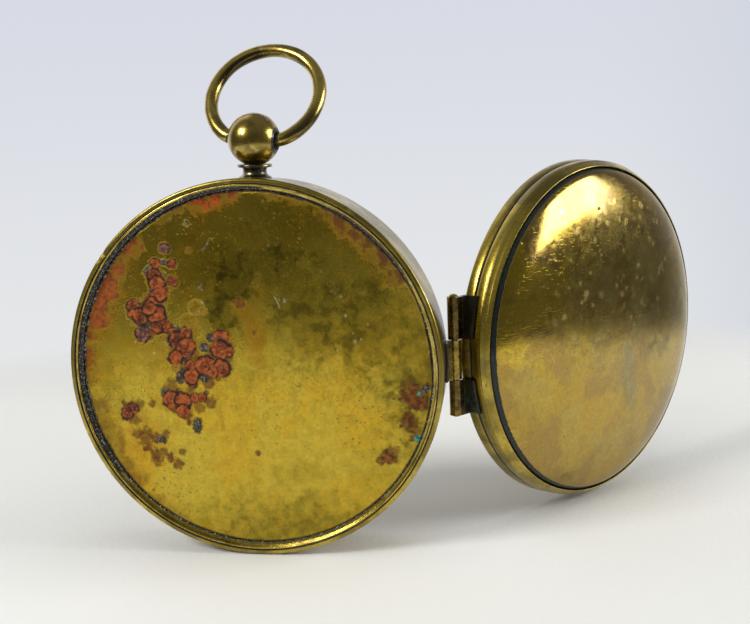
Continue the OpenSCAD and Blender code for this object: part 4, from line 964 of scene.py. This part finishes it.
# ------------------------------------------------------------------ pendant, ball and bow
P_ = rot("Y", 1.4)
PEND = P_ @ np.array([0, 0, 1.0])
P0 = np.array([0, 5.7, 0])
BALL = P0 + P_ @ np.array([0, 0, 47.46])
B_ = P_ @ rot("Z", -5.6) @ rot("Y", 3.6)

neck = [(1.22, 38.3, 0), (3.55, 38.3, 0), (3.5, 39.5, 0.1), (3.2, 39.92, 0.15)] + [(a, b, 0.0) for a, b in arc_pts(3.68, 40.98, 1.25, 235, 145, 14)] + [
    (2.85, 41.73, 0.06), (3.5, 41.75, 0.08), (3.62, 41.92, 0.1), (3.62, 42.25, 0.1), (3.45, 42.42, 0.06), (1.22, 42.42, 0)]
neck = resample(fillet(neck, n=4), 0.16)


def lathe_z(name, prof, place, mat, body, n=120, wobble=None, dirt_and_shade=None, **kw):
    """Turns a profile of (radius, height) about local Z and places it."""
    return lathe(name, prof, mat, body, n=n, wobble=wobble, dirt_and_shade=dirt_and_shade, to=lambda v: place(np.stack([v[:, 0], -v[:, 2], v[:, 1]], 1)), **kw)


lathe_z("pendant_neck_turned", neck, lambda v: v @ P_.T + P0, M_NECK, "case", wobble=lambda t, r, y: (0.04 * (around(t, 2, 91) - 0.5), 0 * t),
        dirt_and_shade=lambda t, r, y: np.clip(np.exp(-((y - 41.35) / 0.35) ** 2) * 0.9 + 0.8 * smooth(-r, -3.2, -2.6) * smooth(y, 40.2, 41.2) + 0.08 - 0.4 * smooth(y, 41.85, 42.0), 0, 1),
        replaces=("pendant_neck",), slot="case_brass", sharp=35)

BR_ = 5.45
ball = [(BR_ * math.sin(a), BR_ * math.cos(a)) for a in np.radians(np.linspace(22.2, 157.8, 110))]
ball = [(2.0, 5.0)] + ball + [(2.0, -5.0), (1.52, -4.35), (1.5, -4.2), (1.5, 4.2), (1.52, 4.35)]
ball = resample(fillet([(a, b, 0.12) if a < 2.2 else (a, b, 0.0) for a, b in ball], n=3), 0.5)
ball_flat = -4.99


def ball_place(v):
    w = np.stack([v[:, 1], v[:, 0], v[:, 2]], 1)      # profile axis onto the bore axis
    q = w @ (P_.T @ B_).T                             # in the pendant's axes, so the foot can be cut flat
    q[:, 2] = np.maximum(q[:, 2], ball_flat)
    return q @ P_.T + BALL


# the ball darkens in and round its bore: grime, and painted shade where the ring enters
lathe("bow_ball_turned", ball, M_BALL, "swivel", n=220, to=ball_place, wobble=lambda t, r, y: (0.06 * (around(t, 2.2, 92, y * 0.3) - 0.62) * (r > 2.3), 0 * t),
      dirt_and_shade=lambda t, r, y: np.clip(smooth(-r, -2.75, -2.1) + 0.5 * smooth(-r, -3.6, -2.4) * smooth(y, 3.0, 4.4) + 0.06, 0, 1), replaces=("bow_ball",), slot="bow_brass", sharp=40)
# the spindle under the ball and its riveted end inside the case
spin = resample(fillet([(0.0, 35.13, 0), (0.9, 35.13, 0.1), (1.14, 35.3, 0.1), (1.14, 42.6, 0), (0.0, 42.6, 0)], n=3), 0.8)
lathe_z("swivel_spindle", spin, lambda v: v @ P_.T + P0, M_DARK, "swivel", n=48, dirt_and_shade=None, slot="bow_brass")

BOW = B_ @ rot("X", -34.6)
half, gap = math.sqrt(11.75**2 - 10.38**2), math.degrees(math.asin(math.sqrt(11.75**2 - 10.38**2) / 11.75))
path = [(1.45 + k * (half - 2.2) / 10, 0.0) for k in range(10)]
ring_a = [(11.75 * math.cos(a), 10.38 + 11.75 * math.sin(a)) for a in np.radians(np.linspace(-90 + gap, 270 - gap, 200))]
p2 = np.array(path + ring_a + [(-x, y) for x, y in path[::-1]])
for _ in range(14):     # eases the bend where the ring enters the ball
    q2 = p2.copy()
    q2[1:-1] = 0.25 * p2[:-2] + 0.5 * p2[1:-1] + 0.25 * p2[2:]
    keep = (np.abs(p2[:, 1]) < 2.2)
    p2[keep] = q2[keep]
p3 = np.stack([p2[:, 0], np.zeros(len(p2)), p2[:, 1]], 1)
s_ = np.linspace(0, 1, len(p3))
wire = 1.45 - 0.05 * np.exp(-((s_ - 0.5) / 0.25) ** 2) - 0.03 * np.sin(s_ * 40)
ring_v = p3 @ BOW.T + BALL
ring_ob = tube("bow_ring_wire", ring_v, wire, M_BOW, "bow", n=40, wobble=0.05, replaces=("bow_ring",), slot="bow_brass", sharp=60)
rv = np.empty(len(ring_ob.data.vertices) * 3, np.float32)
ring_ob.data.vertices.foreach_get("co", rv)
rv = rv.reshape(-1, 3) * 1000
near = np.linalg.norm(rv - BALL, axis=1)
inner_ = np.linalg.norm((rv - BALL) @ BOW - np.array([0, 0, 10.38]), axis=1)
# darker near the ball: grime, and painted shade in the crevice where the ring enters
at_ = ring_ob.data.attributes.new("dirt_and_shade", "FLOAT", "POINT")
loc = (rv - BALL) @ BOW - np.array([0, 0, 10.38])
turn_ = np.degrees(np.arctan2(loc[:, 2], loc[:, 0]))
# painted shade on the bow ring: the inner face at the upper left and the outer face at the lower right are darkened
painted_shade = 0.62 * smooth(-inner_, -11.75, -11.0) * (1 - smooth(np.abs(turn_ - 136), 24, 46)) + 0.5 * smooth(inner_, 11.2, 12.2) * (1 - smooth(np.abs(turn_ + 36), 14, 32))
at_.data.foreach_set("value", np.clip((1 - smooth(near, 5.0, 6.6)) * 0.95 + 0.05, 0, 1).astype(np.float32))
at_ = ring_ob.data.attributes.new("painted_shade", "FLOAT", "POINT")
at_.data.foreach_set("value", np.clip(painted_shade * 1.45, 0, 0.95).astype(np.float32))

# ------------------------------------------------------------------ engraving on the instrument, thin inlaid lines
FACE = -1.0


class Lines:
    """Thin flat strips lying on a face that looks along +Y, gathered into one mesh. Coordinates as seen from the front of the dial."""

    def __init__(self, y, thick=0.03):
        self.v, self.f, self.y, self.t = [], [], y, thick

    def strip(self, pts, w):
        pts = np.asarray(pts, float)
        if len(pts) < 2:
            return
        d = np.gradient(pts, axis=0)
        ln = np.linalg.norm(d, axis=1)[:, None]
        d = d / np.where(ln < 1e-9, 1, ln)
        nrm = np.stack([-d[:, 1], d[:, 0]], 1)
        w = np.broadcast_to(np.asarray(w, float), (len(pts),))[:, None] / 2
        L, R = pts + nrm * w, pts - nrm * w
        o = len(self.v)
        n = len(pts)
        for y in (self.y + self.t, self.y - 0.01):
            self.v += [(FACE * p[0], y, p[1]) for p in L] + [(FACE * p[0], y, p[1]) for p in R]
        for k in range(n - 1):
            a, b, c, e = o + k, o + k + 1, o + n + k + 1, o + n + k
            self.f.append((a, b, c, e))
            s = 2 * n
            self.f.append((e + s, c + s, b + s, a + s))
            self.f.append((a, a + s, b + s, b))
            self.f.append((c, c + s, e + s, e))
        s = 2 * n
        self.f.append((o, o + n, o + n + s, o + s))
        a, b = o + n - 1, o + 2 * n - 1
        self.f.append((a, a + s, b + s, b))

    def circle(self, cx, cy, r, w, n=180, clip=None):
        a = np.linspace(0, 2 * np.pi, n + 1)
        self.clipped(np.stack([cx + r * np.cos(a), cy + r * np.sin(a)], 1), w, clip)

    def clipped(self, pts, w, inside):
        if inside is None:
            self.strip(pts, w)
            return
        ok = inside(pts)
        run = []
        for p, k in zip(pts, ok):
            if k:
                run.append(p)
            elif run:
                self.strip(run, w)
                run = []
        self.strip(run, w)

    def build(self, name, mat, body, place=None, slot=None):
        v = np.array(self.v)
        if place is not None:
            v = place(v)
        return make(name, v, self.f, mat, body, sharp=30, slot=slot)


DIGITS = {0: "abcdef", 1: "bc", 2: "abged", 3: "abgcd", 4: "fgbc", 5: "afgcd", 6: "afgedc", 7: "abc", 8: "abcdefg", 9: "abcdfg"}
SEG = {"a": ((0, 2), (1, 2)), "b": ((1, 2), (1, 1)), "c": ((1, 1), (1, 0)), "d": ((0, 0), (1, 0)), "e": ((0, 0), (0, 1)), "f": ((0, 1), (0, 2)), "g": ((0, 1), (1, 1))}


def number(lines, value, r, ang, size, w):
    """Plain figures standing outward on a ring at an angle."""
    s = str(value)
    x0 = -(len(s) * 0.62 + (len(s) - 1) * 0.38) / 2 * size
    a = math.radians(ang)
    ex, ey = np.array([math.sin(a), -math.cos(a)]), np.array([math.cos(a), math.sin(a)])
    for ch in s:
        for sg in DIGITS[int(ch)]:
            (ax, ay), (bx, by) = SEG[sg]
            p = [ey * (r + ay * size * 0.5) + ex * (x0 + ax * size * 0.62), ey * (r + by * size * 0.5) + ex * (x0 + bx * size * 0.62)]
            lines.strip(np.array(p), w)
        x0 += size


LIMB_Y = 8.3 - BR
limb = Lines(LIMB_Y)
for rr_, w_ in ((32.5, .10), (34.35, .10), (35.0, .08), (37.55, .14)):
    limb.circle(0, 0, rr_, w_, 300)
rivet_a = [k * 60 for k in range(6)]
for k in range(360):
    a = math.radians(k)
    ln = 2.35 if k % 15 == 0 else (1.25 if k % 5 == 0 else 0.65)
    blocked = k % 15 == 0 and min(abs((k - q + 180) % 360 - 180) for q in rivet_a) < 2
    r0 = 32.5
    r1 = 34.35 if k % 5 == 0 else 33.5 if False else 32.5 + ln * 0.8
    limb.strip(np.array([[r0 * math.cos(a), r0 * math.sin(a)], [r1 * math.cos(a), r1 * math.sin(a)]]), 0.11 if k % 5 == 0 else 0.07)
for k in range(24):
    ang = 90 - k * 15
    if min(abs((ang - q + 180) % 360 - 180) for q in rivet_a) < 4 or abs((ang - 90 + 180) % 360 - 180) < 8:
        continue
    number(limb, (k - 1) % 12 + 1, 35.45, ang, 1.35, 0.13)
limb.build("limb_scale", M_INK, "case", slot="plate_brass")

# almucantars, azimuths and hour lines of one latitude on the top plate
CAP, OBL, LAT = 30.0, 23.5, 52.0
EQ = CAP / math.tan(math.radians(45 + OBL / 2))
CAN = EQ * math.tan(math.radians(45 - OBL / 2))
TY = 3.95 + 2 + 0.98 - BR
tym = Lines(TY)
inside = lambda p: (np.hypot(p[:, 0], p[:, 1]) < CAP + 0.01) & (np.hypot(p[:, 0], p[:, 1]) > 5.6)
for rr_ in (CAP, EQ, CAN):
    tym.circle(0, 0, rr_, 0.12, 240)
tym.circle(0, 0, 31.3, 0.1, 240)
la = math.radians(LAT)
for al in range(0, 90, 5):
    a = math.radians(al)
    cy = EQ * math.cos(la) / (math.sin(la) + math.sin(a))
    rr_ = EQ * math.cos(a) / (math.sin(la) + math.sin(a))
    tym.circle(0, cy, rr_, 0.13 if al % 30 == 0 else 0.075, 240, inside)
hor_c, hor_r = EQ * math.cos(la) / math.sin(la), EQ / math.sin(la)
zen = EQ * math.tan(math.radians((90 - LAT) / 2))
nad = -EQ * math.tan(math.radians((90 + LAT) / 2))
above = lambda p: inside(p) & (np.hypot(p[:, 0], p[:, 1] - hor_c) < hor_r)
below = lambda p: inside(p) & (np.hypot(p[:, 0], p[:, 1] - hor_c) > hor_r)
mid_, halfd = (zen + nad) / 2, (zen - nad) / 2
for az in range(10, 180, 10):
    if az == 90:
        continue
    cx = halfd * math.tan(math.radians(90 - az)) if az != 90 else 0
    rr_ = halfd / abs(math.sin(math.radians(az)))
    tym.circle(cx, mid_, rr_, 0.07, 420, above)
tym.circle(0, mid_, halfd, 0.08, 420, above)
tym.clipped(np.stack([np.zeros(80), np.linspace(-30, 30, 80)], 1), 0.1, inside)
tym.clipped(np.stack([np.linspace(-30, 30, 80), np.zeros(80)], 1), 0.1, inside)
for hr in range(1, 12):
    q = []
    for rr_ in np.linspace(CAN, CAP, 24):
        # share of the arc below the horizon at this radius
        c_ = (hor_r**2 - rr_**2 - hor_c**2) / (-2 * rr_ * hor_c)
        lim = math.degrees(math.asin(max(-1, min(1, c_))))
        a0, a1 = lim, -180 - lim
        ang = math.radians(a0 + (a1 - a0) * hr / 12)
        q.append((rr_ * math.cos(ang), rr_ * math.sin(ang)))
    tym.clipped(np.array(q), 0.07, below)
tym.build("tympan_lines", M_INK, "case", slot="plate_brass")

ret = Lines(7.25 + 0.9 - BR)
ec_c, ec_r = (CAP - CAN) / 2, (CAP + CAN) / 2
ret.circle(0, ec_c, ec_r - 0.35, 0.08, 240)
ret.circle(0, ec_c, ec_r - 1.65, 0.08, 240)
for k in range(72):
    a = math.radians(k * 5)
    # ecliptic longitudes seen from the pole: a line from the centre through the point at that right ascension
    d_ = np.array([math.cos(a), math.sin(a)])
    for r_in, r_out in (((ec_r - 1.65), (ec_r - (0.35 if k % 6 == 0 else 1.0))),):
        # intersect the ray from the pole with both circles
        t0 = d_[1] * ec_c + math.sqrt(max((d_[1] * ec_c) ** 2 - ec_c**2 + r_in**2, 0))
        t1 = d_[1] * ec_c + math.sqrt(max((d_[1] * ec_c) ** 2 - ec_c**2 + r_out**2, 0))
        ret.strip(np.array([d_ * t0, d_ * t1]), 0.12 if k % 6 == 0 else 0.07)
R20 = rot("Y", 20)
ret.build("rete_scale", M_INK, "star_map", place=lambda v: v @ R20.T, slot="rete_brass")

rul = Lines(8.5 + 1.1 - BR)
for s in (-1, 1):
    rul.strip(np.array([[s * 6.0, -0.0], [s * 18.6, 0.0]]), 0.07)
    for k in range(26):
        x = s * (6.2 + k * 0.5)
        ln = 1.1 if k % 5 == 0 else 0.6
        if abs(x) < 19:
            rul.strip(np.array([[x, -2.05], [x, -2.05 + ln]]), 0.07)
RM32 = rot("Y", -32)
rul.build("rule_scale", M_INK, "sight_rule", place=lambda v: v @ RM32.T, slot="rule_brass")

# ------------------------------------------------------------------ floor
def floor_mesh(radius, n=96, rings=40):
    v, f = [(0, 0, 0)], []
    for k in range(1, rings + 1):
        for j in range(n):
            a = 2 * math.pi * j / n
            v.append((radius * k / rings * math.cos(a), radius * k / rings * math.sin(a), 0))
    for j in range(n):
        f.append((0, 1 + j, 1 + (j + 1) % n))
    for k in range(1, rings):
        for j in range(n):
            a, b = 1 + (k - 1) * n + j, 1 + (k - 1) * n + (j + 1) % n
            f.append((a, a + n, b + n, b))
    me = bpy.data.meshes.new("floor")
    me.from_pydata(v, [], f)
    me.shade_smooth()
    ob = bpy.data.objects.new("floor", me)
    bpy.context.scene.collection.objects.link(ob)
    return ob


FLOOR_C = Vector((0.035, 0.0, FLOOR_Z - 0.00005))
floor = floor_mesh(0.30)
floor.location = FLOOR_C
fm = bpy.data.materials.new("pale_cloth_floor")
fm.use_nodes = True
nt = fm.node_tree
nt.nodes.clear()
out = nt.nodes.new("ShaderNodeOutputMaterial")
mixs = nt.nodes.new("ShaderNodeMixShader")
tr = nt.nodes.new("ShaderNodeBsdfTransparent")
bs = nt.nodes.new("ShaderNodeBsdfPrincipled")
tc = nt.nodes.new("ShaderNodeTexCoord")
ln = nt.nodes.new("ShaderNodeVectorMath")
ln.operation = "LENGTH"
nt.links.new(tc.outputs["Object"], ln.inputs[0])
mr = nt.nodes.new("ShaderNodeMapRange")
mr.interpolation_type = "SMOOTHERSTEP"
mr.inputs["From Min"].default_value, mr.inputs["From Max"].default_value = 0.20, 0.295
mr.inputs["To Min"].default_value, mr.inputs["To Max"].default_value = 1.0, 0.0
nt.links.new(ln.outputs["Value"], mr.inputs["Value"])
nz = nt.nodes.new("ShaderNodeTexNoise")
nz.inputs["Scale"].default_value, nz.inputs["Detail"].default_value = 900, 4
nt.links.new(tc.outputs["Object"], nz.inputs["Vector"])
nz2 = nt.nodes.new("ShaderNodeTexNoise")
nz2.inputs["Scale"].default_value, nz2.inputs["Detail"].default_value = 14, 3
nt.links.new(tc.outputs["Object"], nz2.inputs["Vector"])
mc = nt.nodes.new("ShaderNodeMix")
mc.data_type = "RGBA"
nt.links.new(nz2.outputs["Fac"], mc.inputs[0])
mc.inputs[6].default_value, mc.inputs[7].default_value = (0.80, 0.80, 0.765, 1), (0.86, 0.86, 0.83, 1)
nt.links.new(mc.outputs[2], bs.inputs["Base Color"])
bp_ = nt.nodes.new("ShaderNodeBump")
bp_.inputs["Strength"].default_value, bp_.inputs["Distance"].default_value = 0.25, 0.0004
nt.links.new(nz.outputs["Fac"], bp_.inputs["Height"])
nt.links.new(bp_.outputs[0], bs.inputs["Normal"])
bs.inputs["Roughness"].default_value = 0.95
bs.inputs["Specular IOR Level"].default_value = 0.1
nt.links.new(mr.outputs[0], mixs.inputs[0])
nt.links.new(tr.outputs[0], mixs.inputs[1])
nt.links.new(bs.outputs[0], mixs.inputs[2])
nt.links.new(mixs.outputs[0], out.inputs[0])
floor.data.materials.append(fm)

# ------------------------------------------------------------------ world: a pale backdrop, and a room for the brass to reflect
world = bpy.data.worlds.new("studio")
bpy.context.scene.world = world
world.use_nodes = True
nt = world.node_tree
nt.nodes.clear()
wout = nt.nodes.new("ShaderNodeOutputWorld")
tc = nt.nodes.new("ShaderNodeTexCoord")
sp_ = nt.nodes.new("ShaderNodeSeparateXYZ")
nt.links.new(tc.outputs["Generated"], sp_.inputs[0])


def wnode(kind, **kw):
    n = nt.nodes.new(kind)
    for k, v in kw.items():
        setattr(n, k, v)
    return n


def wrange(src, a, b, lo, hi, smoothed=True):
    n = wnode("ShaderNodeMapRange", interpolation_type="SMOOTHSTEP" if smoothed else "LINEAR")
    nt.links.new(src, n.inputs["Value"])
    for k, x in zip(("From Min", "From Max", "To Min", "To Max"), (a, b, lo, hi)):
        n.inputs[k].default_value = x
    return n.outputs[0]


def wmix(fac, a, b):
    n = wnode("ShaderNodeMix", data_type="RGBA")
    for s, k in ((fac, 0), (a, 6), (b, 7)):
        if isinstance(s, bpy.types.NodeSocket):
            nt.links.new(s, n.inputs[k])
        else:
            n.inputs[k].default_value = s
    return n.outputs[2]


X_, Y_, Z_ = sp_.outputs
# what the camera sees behind the object
seen = wmix(wrange(Z_, -0.22, 0.10, 0, 1), lin(229, 231, 232), lin(216, 219, 229))
seen = wmix(wrange(X_, -0.02, 0.22, 0, 1), seen, lin(208, 212, 220))
seen = wmix(wrange(Z_, -0.50, -0.20, 1, 0), seen, lin(233, 234, 230))
# what the object reflects and is lit by
back_ = wmix(wrange(Y_, 0.42, 0.95, 0, 1), (0.10, 0.10, 0.095, 1), (0.74, 0.76, 0.80, 1))
top_ = wmix(wrange(Z_, 0.25, 0.85, 0, 1), back_, (0.20, 0.205, 0.215, 1))
side_ = wmix(wrange(Y_, 0.10, 0.42, 0, 1), top_, (0.90, 0.90, 0.91, 1))
top_ = wmix(wrange(X_, -0.10, -0.36, 0, 1), top_, side_)
room = wmix(wrange(Z_, -0.40, -0.15, 1, 0), top_, (0.16, 0.16, 0.155, 1))
bg1, bg2 = wnode("ShaderNodeBackground"), wnode("ShaderNodeBackground")
nt.links.new(seen, bg1.inputs["Color"])
nt.links.new(room, bg2.inputs["Color"])
lp = wnode("ShaderNodeLightPath")
ms = wnode("ShaderNodeMixShader")
nt.links.new(lp.outputs["Is Camera Ray"], ms.inputs[0])
nt.links.new(bg2.outputs[0], ms.inputs[1])
nt.links.new(bg1.outputs[0], ms.inputs[2])
nt.links.new(ms.outputs[0], wout.inputs[0])


def softbox(name, direction, dist, w, h, power, target=(0.02, 0.02, 0.0), color=(1, 1, 1), spread=180):
    li = bpy.data.lights.new(name, "AREA")
    li.shape, li.size, li.size_y, li.energy, li.color = "RECTANGLE", w, h, power, color
    li.spread = math.radians(spread)
    ob = bpy.data.objects.new(name, li)
    bpy.context.scene.collection.objects.link(ob)
    d = Vector(direction).normalized()
    ob.location = Vector(target) + d * dist
    ob.rotation_mode = "QUATERNION"
    ob.rotation_quaternion = d.to_track_quat("Z", "Y")
    ob.visible_camera = False
    return ob


softbox("key_left", (-0.64, -0.63, 0.60), 0.75, 0.27, 0.21, 3.7)
softbox("key_right", (0.94, 0.09, 0.36), 0.75, 0.36, 0.34, 3.8, target=(0.05, 0.03, 0.0))
fill = softbox("overhead", (0.1, -0.1, 1.0), 0.9, 0.7, 0.7, 1.9)
fill.visible_glossy = False

# ------------------------------------------------------------------ camera
right_, up_, fwd_ = Vector((0.9841, 0.1732, -0.0395)), Vector((0.0080, 0.1787, 0.9839)), Vector((-0.1775, 0.9685, -0.1745))
fwd_.normalize()
right_ = (right_ - fwd_ * right_.dot(fwd_)).normalized()
up_ = right_.cross(fwd_)
cam = bpy.data.cameras.new("camera")
cam.sensor_width, cam.lens = 36, 58.22
cam.clip_start, cam.clip_end = 0.01, 10
co = bpy.data.objects.new("camera", cam)
bpy.context.scene.collection.objects.link(co)
co.matrix_world = Matrix((( right_.x, up_.x, -fwd_.x, 0.069846), (right_.y, up_.y, -fwd_.y, -0.238594), (right_.z, up_.z, -fwd_.z, 0.055027), (0, 0, 0, 1)))
bpy.context.scene.camera = co
bpy.context.scene.view_settings.view_transform = "Standard"
bpy.context.scene.view_settings.look = "None"

bpy.context.view_layer.update()
